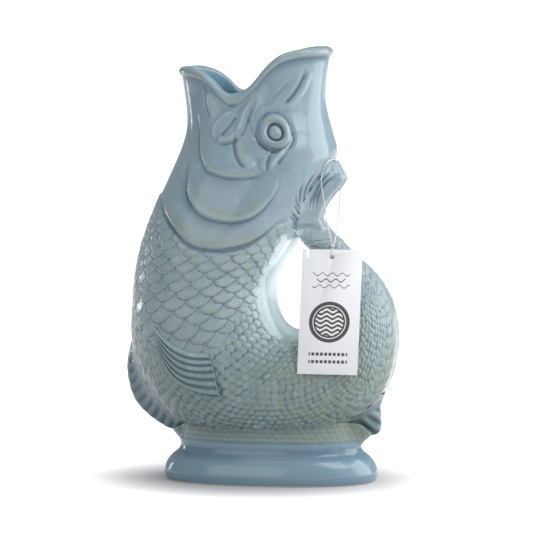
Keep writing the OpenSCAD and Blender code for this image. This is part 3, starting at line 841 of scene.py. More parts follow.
@dataclass
class Casting:
    """The hollow fish: head, belly and tail of one glazed casting.

    Its skins are made by formula: the scales, gill steps and carved lines follow the fish's
    double curve, which no primitive or modifier gives.

    Attributes:
        carving: The relief of its skin.
        columns: Points round a section.
        rim_rows: Rows over the rim's round.
        head_rows: Rows of the head's skin; belly_rows and tail_rows are those of the others.
        head_end: Run where the head's skin ends; belly_end is where the belly's does.
        cavity_end: Run where the tail's hollow ends.
        inner_rows: Rows of the inner side of the belly and the tail.
        rim_drop: How far below the rim's round the outer side starts, in metres.
        below_rim: Run from there to the first row of the inner side.
        large_sunk: How far the skin under the large scales is sunk, in metres.
        small_sunk: How much deeper it is under the small scales, in metres.
    """

    carving: Carving = field(default_factory=Carving)
    columns: int = 400
    rim_rows: int = 12
    head_rows: int = 196
    belly_rows: int = 208
    tail_rows: int = 216
    head_end: float = 0.36
    belly_end: float = 0.63
    cavity_end: float = 0.94
    inner_rows: int = 12
    rim_drop: float = 0.35 * MM
    below_rim: float = 0.004
    large_sunk: float = 0.15 * MM
    small_sunk: float = 0.55 * MM

    def rim(self, t: Array) -> tuple[Array, Array]:
        """Find where the rim's round starts.

        Args:
            t: Angles round the mouth.

        Returns:
            The run where the round starts and its radius as a run, by angle.
        """
        radius = (SKIN.wall + self.carving.lip_bead) / 2
        rate = np.linalg.norm(SKIN.at(0.01, t) - SKIN.at(0.0, t), axis=-1) / 0.01
        return (radius + self.rim_drop) / rate, radius / rate

    def turns(self) -> Array:
        """Return the angles of the inner side's columns, from -180 to 180 degrees."""
        turn = np.linspace(0, 360, self.columns, endpoint=False)
        return np.where(turn > 180, turn - 360, turn)

    def sheet(self) -> tuple[Sheet, list[int]]:
        """Return the whole outer side, and the rows where head, belly and tail end."""
        half = np.linspace(0, 180, self.columns // 2 + 1)
        runs = np.concatenate([
            np.linspace(0.0, self.head_end, self.head_rows),
            np.linspace(self.head_end, self.belly_end, self.belly_rows + 1)[1:],
            np.linspace(self.belly_end, 1, self.tail_rows + 1)[1:]])
        carving = self.carving
        radius = (SKIN.wall + carving.lip_bead) / 2
        first, bend = self.rim(half)
        fade = np.clip(1 - runs / 0.2, 0, 1)[:, None]
        q = runs[:, None] + fade * first[None]
        t = np.broadcast_to(half[None], q.shape)
        height = carving.relief(q, half, runs)
        flank = smoothstep(150, 143, t)
        before_tip = smoothstep(1.0, 0.97, runs)[:, None]
        sunk = (self.small_sunk * smoothstep(0.42, 0.55, runs)[:, None] * flank * before_tip
                + self.large_sunk * smoothstep(0.3, 0.36, runs)[:, None] * flank * before_tip)
        turn = np.linspace(math.pi, 0, self.rim_rows + 1)[:-1]
        rim_q = first[None] - bend[None] * np.sin(turn)[:, None]
        rim_lift = (carving.lip_bead - radius + radius * np.cos(turn))[:, None] + 0 * rim_q
        q = np.concatenate([rim_q, q])
        lift = np.concatenate([rim_lift, height - sunk])
        whole_q = np.concatenate([q, q[:, -2:0:-1]], axis=1)
        whole_t = np.concatenate([half, -half[-2:0:-1]])[None] + 0 * whole_q
        whole_lift = np.concatenate([lift, lift[:, -2:0:-1]], axis=1)
        points = SKIN.raised(whole_q, whole_t, whole_lift)
        normals = outward_normals(points, len(points) // 3)
        relief = whole_lift / MM
        relief[:self.rim_rows] = carving.lip_bead / MM
        near = relief - softened(relief, 4.0, 3.0)
        wide = relief - softened(relief, 12.0, 9.0)
        pool = np.clip(0.5 + 0.56 * near + 0.28 * wide, 0, 1)
        ribbed = (whole_q > 0.2) & (whole_q < 0.4) & (np.abs(whole_t) > 118)
        pool = np.where(ribbed, np.minimum(pool, 0.7 - 0.68 * RIBS.grooves(points)), pool)
        last = self.rim_rows + self.head_rows - 1
        ends = [last, last + self.belly_rows, last + self.belly_rows + self.tail_rows]
        return Sheet(points, normals, pool), ends

    def hollow(self, first: float | Array, last: float, rows: int) -> Array:
        """Find the points of the inner side between two runs.

        Args:
            first: The run where it starts, the same all round or one for each column.
            last: The run where it ends.
            rows: Number of rows.

        Returns:
            Points, as rows, columns, xyz.
        """
        turn = self.turns()
        q = np.linspace(np.broadcast_to(first, turn.shape), last, rows)
        points = SKIN.at(q, np.broadcast_to(turn, q.shape), -SKIN.wall)
        points[..., 2] = np.maximum(points[..., 2], SKIN.seat + SKIN.wall)
        return points

    def build(self) -> list[bpy.types.Object]:
        """Make the three skins of the casting and return them."""
        whole, ends = self.sheet()
        start = self.rim(np.abs(self.turns()))[0] + self.below_rim
        head_inner = self.hollow(start, self.head_end, 3 * self.inner_rows)
        head = wall_piece("head_skin", whole.rows(0, ends[0]), head_inner, False)
        belly = wall_piece("belly_skin", whole.rows(ends[0], ends[1]),
                           self.hollow(self.head_end, self.belly_end, self.inner_rows), False)
        tail = wall_piece("tail_skin", whole.rows(ends[1], ends[2]),
                          self.hollow(self.belly_end, self.cavity_end, self.inner_rows), True)
        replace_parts(head, "body", "gill_cover_left", "gill_cover_right")
        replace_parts(belly, "body")
        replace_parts(tail, "tail")
        return [head, belly, tail]


def laid_piece(name: str, q: Array, t: Array, height: Array, pool: Array) -> bpy.types.Object:
    """Make a closed piece that lies on the fish's skin.

    Args:
        name: Name of the piece.
        q: Run of each point of its grid.
        t: Angle of each point.
        height: Height of its top over the skin, in metres.
        pool: How thin the glaze lies on each point, from 0 to 1, with painted
        shade and painted highlights laid into it on the fins.

    Returns:
        The new object.
    """
    under = SKIN.raised(q, t, np.full(q.shape, -0.3 * MM))
    over = SKIN.raised(q, t, height)
    rows, columns = q.shape
    count = rows * columns
    vertices = np.concatenate([over.reshape(-1, 3), under.reshape(-1, 3)])
    faces = [quads(rows, columns, 0, False), quads(rows, columns, count, False)[:, ::-1]]
    sides = []
    for row, turned in ((0, True), (rows - 1, False)):
        i = np.arange(columns - 1) + row * columns
        wall = np.stack([i, i + 1, count + i + 1, count + i], axis=1)
        sides.append(wall if turned else wall[:, ::-1])
    for column, turned in ((0, False), (columns - 1, True)):
        i = np.arange(rows - 1) * columns + column
        wall = np.stack([i, i + columns, count + i + columns, count + i], axis=1)
        sides.append(wall if turned else wall[:, ::-1])
    joined = np.concatenate(faces + [side[:, ::-1] for side in sides])
    marks = {"pool": np.concatenate([np.clip(pool, 0, 1).ravel(), np.full(count, 0.5)]),
             "rough": np.zeros(2 * count)}
    return clay_piece(name, vertices, joined, None, marks)


@dataclass
class SideFins:
    """The two ribbed fins on the flanks."""

    top_runs: Points = ((0, 0.453), (0.33, 0.477), (0.67, 0.498), (1, 0.512))
    top_angles: Points = ((0, 61), (0.33, 72), (0.67, 85), (1, 96))
    low_runs: Points = ((0, 0.480), (0.33, 0.510), (0.67, 0.541), (1, 0.570))
    low_angles: Points = ((0, 63), (0.33, 64), (0.67, 69), (1, 81))
    height: float = 4.6 * MM
    root_share: float = 0.35
    ribs: int = 6
    bulge: float = 3.2
    groove: float = 1.6 * MM
    rows: int = 90
    columns: int = 150

    def build(self, side: Side) -> bpy.types.Object:
        """Make the fin on one side.

        Args:
            side: Which side.

        Returns:
            The fin.
        """
        u = np.linspace(0, 1, self.rows)[:, None] + np.zeros((1, self.columns))
        v = np.linspace(0, 1, self.columns)[None] + np.zeros((self.rows, 1))
        q = read(self.top_runs, u) * (1 - v) + read(self.low_runs, u) * v
        t = read(self.top_angles, u) * (1 - v) + read(self.low_angles, u) * v
        t = t + self.bulge * np.sin(math.pi * v) * smoothstep(0.5, 1, u)
        wave = 0.5 + 0.5 * np.cos(2 * math.pi * (v * self.ribs - 0.36))
        rib = smoothstep(0.02, 0.5, wave) * (0.8 + 0.2 * wave)
        edge = np.minimum(np.minimum(v, 1 - v) * 14, (1 - u) * 18 + 0.35)
        rounded = np.sqrt(np.clip(1 - (1 - np.clip(edge, 0, 1))**2, 0, 1))
        rim = smoothstep(0.94, 0.975, u)
        depth = self.groove * smoothstep(0.02, 0.3, u) * (1 - 0.8 * rim)
        relief = depth * (rib - 1) + 0.25 * MM * rim
        body = self.height * (self.root_share + (1 - self.root_share) * u**0.8)
        height = np.maximum((body + relief) * (0.25 + 0.75 * rounded) * smoothstep(-0.03, 0.1, u),
                            0.1 * MM)
        slope = -np.sin(2 * math.pi * (v * self.ribs - 0.36))
        # Lighter on one flank of each rib and along the fin's upper edge: painted highlights;
        # darker in the grooves where the glaze pools.
        pool = (0.12 + 0.42 * rib + 0.2 * rim * (1 - rib) + 0.14 * rib * np.clip(-slope, 0, 1)
                + 0.2 * smoothstep(0.05, 0.0, v))
        name = f"side_fin_{side.name.lower()}_clay"
        piece = laid_piece(name, q, t * side.value, height, pool)
        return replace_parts(piece, f"side_fin_{side.name.lower()}")


@dataclass
class MidlineFin:
    """A fluted fin along the fish's belly.

    Attributes:
        name: The CAD node that it stands for.
        rows: Run and height share of its crest.
        height: Height of its highest ray.
        flute: Length of one flute along the root.
        lean: How far the flutes lean towards the tail for each unit of height.
        depth: Depth of the flutes.
        crest: How high the fin is at each angle from its line, as a share.
    """

    name: str
    rows: Points
    height: float
    flute: float
    lean: float
    depth: float
    crest: Points = ((0, 1), (2.5, 0.9), (6, 0.45), (11, 0.14), (16, 0.03))

    def build(self) -> bpy.types.Object:
        """Make the fin."""
        table = np.array(self.rows, float)
        runs = np.linspace(table[0, 0], table[-1, 0], 150)
        high = spline(table[:, 1], np.interp(runs, table[:, 0], np.arange(len(table))))
        share = np.linspace(-1, 1, 121)
        angle = 16 * signed_power(share, 1.7)
        q, t = np.meshgrid(runs, angle, indexing="ij")
        crest = self.height * np.maximum(high, 0)[:, None] * read(self.crest, np.abs(t))
        line = SKIN.at(runs, 0.0)
        length = np.concatenate([[0], np.cumsum(np.linalg.norm(np.diff(line, axis=0), axis=1))])
        phase = (length[:, None] - self.lean * crest) / self.flute
        wave = 0.5 + 0.5 * np.cos(2 * math.pi * phase)
        on = smoothstep(0.04, 0.3, crest / self.height)
        tip = smoothstep(0.0, 0.8, np.abs(t))
        relief = self.depth * (wave**0.7 - 0.6) * on * tip
        # Held dark all over as painted shade under the belly, with the flutes' troughs darker
        # where the glaze pools.
        pool = 0.24 + (0.3 * wave - 0.2) * on
        piece = laid_piece(f"{self.name}_clay", q, t, np.maximum(crest, 0.1 * MM), pool)
        points = corners(piece)
        side = np.sign(t).ravel()
        points[:q.size, 1] -= side * (relief + 0.25 * self.depth * on * tip).ravel()
        set_corners(piece, points)
        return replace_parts(piece, self.name)


@dataclass
class TailFin:
    """The tail's fin, which spreads over the head's back and joins the hollow tail to it."""

    rows: Sequence[tuple[float, float, float]] = (
        (0.3415, 1.45, 17.5), (0.3310, 0.93, 20), (0.3215, 0.72, 23), (0.3095, 0.69, 25.5),
        (0.2970, 0.80, 25), (0.2850, 0.98, 23), (0.2730, 1.00, 19.5), (0.2590, 0.62, 15),
        (0.2380, 0.20, 9))
    taper: Points = ((0, 1), (0.05, 0.86), (0.12, 0.75), (0.22, 0.65), (0.33, 0.58), (0.5, 0.48),
                     (0.67, 0.4), (0.84, 0.29), (1, 0))
    reach: float = 13.2 * MM
    seat: float = 0.3 * MM
    steps: int = 26
    columns: int = 400
    scale_height: float = 0.4 * MM
    root_seat: float = -0.5 * MM

    def ring(self, row: tuple[float, float, float], turn: Array) -> Array:
        """Find one ring of the fin.

        Args:
            row: Run of its root, reach as a share, and half angle that its root spans.
            turn: Signed angles of its points from the free edge.

        Returns:
            The points.
        """
        side = np.where(turn < 0, -1, 1)
        size = np.abs(turn)
        root = SKIN.at(row[0], 180 - side * row[2], self.root_seat)
        ridge = SKIN.at(row[0], 180.0, self.seat)
        tip = ridge + np.array([row[1] * self.reach, 0, 0])
        free = (90 - np.minimum(size, 90)) / 90
        base = SKIN.at(row[0], 180 - side * row[2] * (180 - np.maximum(size, 90)) / 90,
                       self.root_seat)
        x = root[..., 0] + (tip[0] - root[..., 0]) * free
        y = root[..., 1] * read(self.taper, free)
        z = root[..., 2] + (tip[2] - root[..., 2]) * free
        blade = np.stack([x, y, z], axis=-1)
        return np.where((size >= 90)[:, None], base, blade)

    def scales(self, points: Array, place: Array) -> Array:
        """Find how high small scales stand on the fin's base.

        Args:
            points: Places, as rings, points, xyz.
            place: Number of each ring along the control rows.

        Returns:
            Heights from 0 to about 1.
        """
        row = points[..., 2] / (3.1 * MM) + points[..., 0] / (14 * MM)
        across = points[..., 0] / (4.2 * MM) + np.abs(points[..., 1]) / (9 * MM)
        return domes(row, across, (0.62, 0.72), 0.2, 8) * smoothstep(2.9, 1.6, place)[:, None]

    def build(self) -> bpy.types.Object:
        """Make the fin with its fanned ribs."""
        turn = np.linspace(-180, 180, self.columns, endpoint=False)
        share = np.abs(turn) / 180
        even = 90 * np.sign(turn) * np.where(share < 0.75, (share / 0.75)**0.85, 4 * share - 2)
        start = SKIN.at(1.0, turn, 0.0)
        rings = np.stack([start] + [self.ring(row, even) for row in self.rows])
        place = np.linspace(0, len(rings) - 1, self.steps * (len(rings) - 1) + 1)
        flat = spline(rings.reshape(len(rings), -1), place)
        points = flat.reshape(len(place), self.columns, 3)
        points[..., 2] = np.maximum(points[..., 2], SKIN.seat)
        normals = outward_normals(points, len(place) // 4)
        deep = (RIBS.grooves(points) * smoothstep(97, 91, np.abs(even))[None]
                * smoothstep(0, 0.6, np.abs(points[..., 1]) / (2.5 * MM)))
        scales = self.scales(points, place)
        relief = self.scale_height * scales - RIBS.depth * deep
        points = points + normals * relief[..., None]
        count = points[..., 0].size
        vertices = points.reshape(-1, 3)
        ends = np.stack([points[0].mean(axis=0), points[-1].mean(axis=0)])
        vertices = np.concatenate([vertices, ends])
        j, k = ring_pairs(self.columns)
        last = (len(place) - 1) * self.columns
        faces = np.concatenate([
            quads(len(place), self.columns, 0, True),
            fan(k, j, count), fan(last + j, last + k, count + 1)])
        pool = 0.54 - 0.52 * deep + 0.2 * (scales - 0.5) * (scales > 0)
        marks = {"pool": np.append(np.clip(pool, 0, 1).ravel(), [0.5, 0.5]),
                 "rough": np.zeros(count + 2)}
        piece = clay_piece("tail_fin_clay", vertices, faces, None, marks)
        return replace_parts(piece, "tail_fin")


@dataclass
class Eyes:
    """A domed pupil in a raised lid on each side of the head.

    Attributes:
        ring_radius: Radius of the lid's crest, as a share of the eye's spread.
        ring_tube: Half the lid's width, as a share of it.
        pupil_radius: Radius of the pupil, as a share of it.
        height: Height of the lid and of the pupil over their middles, in millimetres.
        lid_lift: Distance of the lid's middle from the skin, in metres.
        pupil_lift: Distance of the pupil's middle from it.
        lid_glaze_and_highlight: How thin the glaze lies on the lid, from 0 to 1, set light as a
            painted highlight.
        pupil_glaze_and_highlight: How thin it lies on the pupil, also set light as a painted
            highlight.
    """

    ring_radius: float = 0.745
    ring_tube: float = 0.235
    pupil_radius: float = 0.42
    height: float = 2.7
    lid_lift: float = 0.75 * MM
    pupil_lift: float = 0.35 * MM
    lid_glaze_and_highlight: float = 0.62
    pupil_glaze_and_highlight: float = 0.66

    def on_head(self, piece: bpy.types.Object, side: Side, lift: float) -> None:
        """Lay a flat piece on the head's side.

        Args:
            piece: The piece, wide in shares of the eye's spread and high in millimetres.
            side: The side that it goes to.
            lift: Its distance from the skin, in metres.
        """
        flat = corners(piece)
        q = EYE_RUN + EYE_RUN_SPREAD * flat[:, 0]
        t = (EYE_ANGLE + EYE_ANGLE_SPREAD * flat[:, 1]) * side.value
        set_corners(piece, SKIN.at(q, t) + SKIN.normal(q, np.abs(t) * side.value)
                    * (flat[:, 2] * MM + lift)[:, None])

    def build(self, side: Side) -> list[bpy.types.Object]:
        """Make one eye.

        Args:
            side: Which side of the head.

        Returns:
            Its lid and its pupil.
        """
        label = side.name.lower()
        deselect_all()
        bpy.ops.mesh.primitive_torus_add(major_segments=96, minor_segments=32,
                                         major_radius=self.ring_radius,
                                         minor_radius=self.ring_tube)
        lid = named(f"eye_{label}_lid")
        flat = corners(lid)
        radius = np.hypot(flat[:, 0], flat[:, 1])
        outward = (radius - self.ring_radius) / self.ring_tube
        flat[:, 2] = flat[:, 2] / self.ring_tube * self.height * (1 - 0.2 * outward)
        set_corners(lid, flat)
        heights = {lid.name: flat[:, 2] / flat[:, 2].max()}
        self.on_head(lid, side, self.lid_lift)
        deselect_all()
        bpy.ops.mesh.primitive_uv_sphere_add(segments=64, ring_count=32, radius=1.0)
        pupil = named(f"eye_{label}_pupil")
        flat = corners(pupil)
        flat[:, :2] *= self.pupil_radius
        flat[:, 2] *= self.height
        set_corners(pupil, flat)
        heights[pupil.name] = flat[:, 2] / flat[:, 2].max()
        self.on_head(pupil, side, self.pupil_lift)
        # Lid and pupil get light tones that rise towards their crests: painted highlights that
        # make them read lit.
        for piece, low in ((lid, self.lid_glaze_and_highlight), (pupil, self.pupil_glaze_and_highlight)):
            pick(piece)
            bpy.ops.object.mode_set(mode="EDIT")
            bpy.ops.mesh.select_all(action="SELECT")
            bpy.ops.mesh.normals_make_consistent(inside=False)
            bpy.ops.object.mode_set(mode="OBJECT")
            piece.data.shade_smooth()
            mark_all(piece.data, "pool", np.clip(low + 0.3 * (heights[piece.name] - 0.6), 0, 1))
            mark_all(piece.data, "rough", np.zeros(len(piece.data.vertices)))
        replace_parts(lid, f"eye_{label}")
        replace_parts(pupil, f"eye_{label}")
        return [lid, pupil]


@dataclass
class Plinth:
    """The hollow oval plinth that the fish stands on, bare of glaze under its foot.

    Its neck flares out to a cradle that runs up along the fish's underside.
    """

    height: float = 31 * MM
    neck_length: float = 122 * MM
    neck_width: float = 66 * MM
    spread: float = 11 * MM
    spread_width_share: float = 0.67
    flare: float = 8 * MM
    wall: float = 6 * MM
    deck: float = 4 * MM
    middle: float = 6.4 * MM
    roundness: float = 2.2
    sides: int = 448
    fillet_rings: int = 24
    sink: float = 0.4 * MM
    scale_pitch: float = 4.6 * MM
    scale_height: float = 0.8 * MM
    scales_from: float = 26.8 * MM
    scales_full: float = 29.5 * MM
    under_slope: float = 1.0
    profile: Sequence[tuple[float, float]] = (
        (0.74, 0), (0.64, 0.13), (0.53, 0.5), (0.4, 0.8), (0.23, 1), (0.12, 0.97), (0.03, 0.87),
        (0, 0.79))
    flare_shares: Points = ((0, 1), (25, 0.8), (45, 0.45), (90, 0.4), (135, 0.45), (160, 0.6),
                            (180, 0.65))
    cradle_rise: Points = ((0, 1.5), (12, 4), (22, 9), (32, 11), (135, 11), (146, 9), (158, 4),
                           (180, 1.5))

    def turns(self) -> Array:
        """Return the angles of the points of one level, in degrees."""
        return np.linspace(0, 360, self.sides, endpoint=False)

    def oval(self, level: Array | float, spread: Array | float, across: Array | float) -> Array:
        """Return the points of one level of the plinth.

        Args:
            level: Its height, in metres.
            spread: How much longer than the neck it is at each end, in metres.
            across: How much wider than the neck it is at each side, in metres.

        Returns:
            Its points, with x, y and z in the last axis.
        """
        turn = np.radians(self.turns())
        power = 2 / self.roundness
        x = self.middle + (self.neck_length / 2 + spread) * signed_power(np.cos(turn), power)
        y = (self.neck_width / 2 + across) * signed_power(np.sin(turn), power)
        return np.stack([x, y, level + 0 * x], axis=1)

    def scales(self, level: Array, out: Array) -> Array:
        """Find how high the fish's small scales stand on the cradle.

        Args:
            level: Heights of one ring's points, in metres.
            out: How far they stand out from the neck, in metres.

        Returns:
            Heights from 0 to about 1.
        """
        flat = self.oval(self.height, 0, 0)
        step = np.linalg.norm(flat - np.roll(flat, 1, axis=0), axis=1)
        around = np.cumsum(step) - step[0]
        around = around / around[-1] * round(around[-1] / self.scale_pitch)
        row = (level + 0.5 * out) / (0.8 * self.scale_pitch)
        shown = smoothstep(self.scales_from, self.scales_full, level)
        return domes(row, around, (0.6, 0.7), 0.15, 9) * shown

    def cradle(self) -> tuple[Array, Array]:
        """Return the heights and the outward reach of the cradle's edge under the fish."""
        turn = np.abs((self.turns() + 180) % 360 - 180)
        q, t = np.meshgrid(np.linspace(0.4, 0.78, 170), np.linspace(-80, 80, 161), indexing="ij")
        under = SKIN.at(q, t).reshape(-1, 3)
        top = self.height + read(self.cradle_rise, turn) * MM
        edge = np.zeros(len(turn))
        flare = self.flare * read(self.flare_shares, turn)
        open_ = np.ones(len(turn), bool)
        reach = flare.copy()
        for share in np.linspace(1, 0, 17):
            out = flare * share
            spots = self.oval(0.0, out, out)
            far = ((spots[:, None, :2] - under[None, :, :2])**2).sum(axis=-1)
            nearest = far.argmin(axis=1)
            skin = under[nearest, 2] + self.sink
            meets = open_ & (skin < top) & (far.min(axis=1) < (1.2 * MM)**2)
            edge = np.where(meets, skin, edge)
            reach = np.where(meets, out, reach)
            open_ &= ~meets
        edge = np.where(open_, top, edge)
        both = [softened(row[None] + np.zeros((2, 1)), 0.1, 4.0)[0] for row in (edge, reach)]
        return np.maximum(both[0], self.height + self.sink), both[1]

    def rings(self) -> tuple[Array, Array]:
        """Return the levels from the cradle's edge down and up inside, and their shading."""
        turn = np.abs((self.turns() + 180) % 360 - 180)
        edge, flare = self.cradle()
        neck = self.profile[0][0] * self.height
        bend = np.maximum(edge - self.under_slope * flare, neck + 0.5 * MM)
        levels = []
        marks = []
        for share in np.linspace(0, 1, self.fillet_rings, endpoint=False):
            z = (1 - share)**2 * edge + 2 * share * (1 - share) * bend + share**2 * neck
            out = (1 - share)**2 * flare
            scales = self.scales(z, out)
            shown = smoothstep(self.scales_from, self.scales_full, z)
            marks.append(0.34 * (scales - 0.6) * shown)
            out = out + self.scale_height * scales * smoothstep(0, 0.06, share)
            levels.append(self.oval(z, out, out))
        table = np.array(self.profile)
        rows = spline(table, np.linspace(0, len(table) - 1, 6 * (len(table) - 1) + 1))
        rows = np.clip(rows, 0, 1.01)
        sides = self.spread * self.spread_width_share
        levels += [self.oval(h * self.height, s * self.spread, s * sides) for h, s in rows]
        levels += [self.oval(h * self.height, s * self.spread - self.wall, s * sides - self.wall)
                   for h, s in rows[::-1]]
        top = self.height - self.deck
        for rise, inset in ((0.6 * MM, 0), (0, 1.5 * MM)):
            levels.append(self.oval(top - rise, -self.wall - inset, -self.wall - inset))
        marks += [0 * turn] * (len(levels) - len(marks))
        return np.stack(levels), np.stack(marks)

    def build(self) -> bpy.types.Object:
        """Extrude the plinth's wall level by level from a circle, and close its deck."""
        rings, marks = self.rings()
        step = 0.1 * MM
        deselect_all()
        bpy.ops.mesh.primitive_circle_add(vertices=self.sides, radius=self.neck_width / 2,
                                          location=(self.middle, 0, self.height))
        plinth = named("plinth_clay")
        bpy.ops.object.transform_apply(location=True, rotation=True, scale=True)
        bpy.ops.object.mode_set(mode="EDIT")
        bpy.ops.mesh.select_all(action="SELECT")
        for _ in range(len(rings) - 1):
            bpy.ops.mesh.extrude_edges_move(TRANSFORM_OT_translate={"value": (0, 0, -step)})
        bpy.ops.mesh.edge_face_add()
        bpy.ops.object.mode_set(mode="OBJECT")
        raw = corners(plinth)
        level = np.rint((self.height - raw[:, 2]) / step).astype(int)
        turn = np.arctan2(raw[:, 1], raw[:, 0] - self.middle) / (2 * math.pi) * self.sides
        turn = np.rint(turn).astype(int) % self.sides
        set_corners(plinth, rings[level, turn])
        pick(plinth)
        bpy.ops.object.mode_set(mode="EDIT")
        bpy.ops.mesh.select_all(action="DESELECT")
        bpy.ops.mesh.select_non_manifold()
        bpy.ops.mesh.edge_face_add()
        bpy.ops.mesh.select_all(action="SELECT")
        bpy.ops.mesh.normals_make_consistent(inside=False)
        bpy.ops.object.mode_set(mode="OBJECT")
        bpy.ops.object.shade_smooth_by_angle(angle=math.radians(50))
        height = corners(plinth)[:, 2] / MM
        # Painted light on the plinth: the neck band from 12.5 to 27.5 mm under the fish is
        # darkened as painted shade, the line at 27.6 mm and the band round 10.5 mm on the foot's
        # shoulder are lightened as painted highlights, and the bottom 6 mm of the foot darkens as
        # painted shade; the cradle's scale marks are glaze pooling.
        pool = (0.5 + marks[level, turn]
                - 0.3 * smoothstep(12.5, 19, height) * smoothstep(27.5, 24, height)
                + 0.2 * np.exp(-((height - 27.6) / 0.9)**2)
                + 0.12 * np.exp(-((height - 10.5) / 2.5)**2)
                - 0.12 * smoothstep(6, 1, height))
        mark_all(plinth.data, "pool", np.clip(pool, 0, 1))
        mark_all(plinth.data, "rough", smoothstep(0.9, 0.3, height))
        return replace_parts(plinth, "plinth")


# Route of the string in the part's source, from the knot over the fin and back, in metres
STRING_ROUTE = (
    (0.0510, -0.0203, 0.1598), (0.0502, -0.0198, 0.1634), (0.0488, -0.0188, 0.1684),
    (0.0476, -0.0178, 0.1730), (0.0466, -0.0168, 0.1780), (0.0458, -0.0160, 0.1840),
    (0.0445, -0.0155, 0.1900), (0.0436, -0.0154, 0.1950), (0.0432, -0.0158, 0.1990),
    (0.0433, -0.0163, 0.2030), (0.0441, -0.0169, 0.2070), (0.0456, -0.0176, 0.2110),
    (0.0475, -0.0160, 0.2138), (0.0492, -0.0104, 0.2146), (0.0500, -0.0050, 0.2146),
    (0.0504, 0.0000, 0.2146), (0.0506, 0.0040, 0.2142), (0.0510, 0.0072, 0.2116),
    (0.0514, 0.0088, 0.2070), (0.0518, 0.0092, 0.2020), (0.0520, 0.0078, 0.1970),
    (0.0520, 0.0055, 0.1910), (0.0522, 0.0025, 0.1840), (0.0522, -0.0015, 0.1770),
    (0.0523, -0.0065, 0.1705), (0.0524, -0.0126, 0.1646), (0.0523, -0.0195, 0.1595))


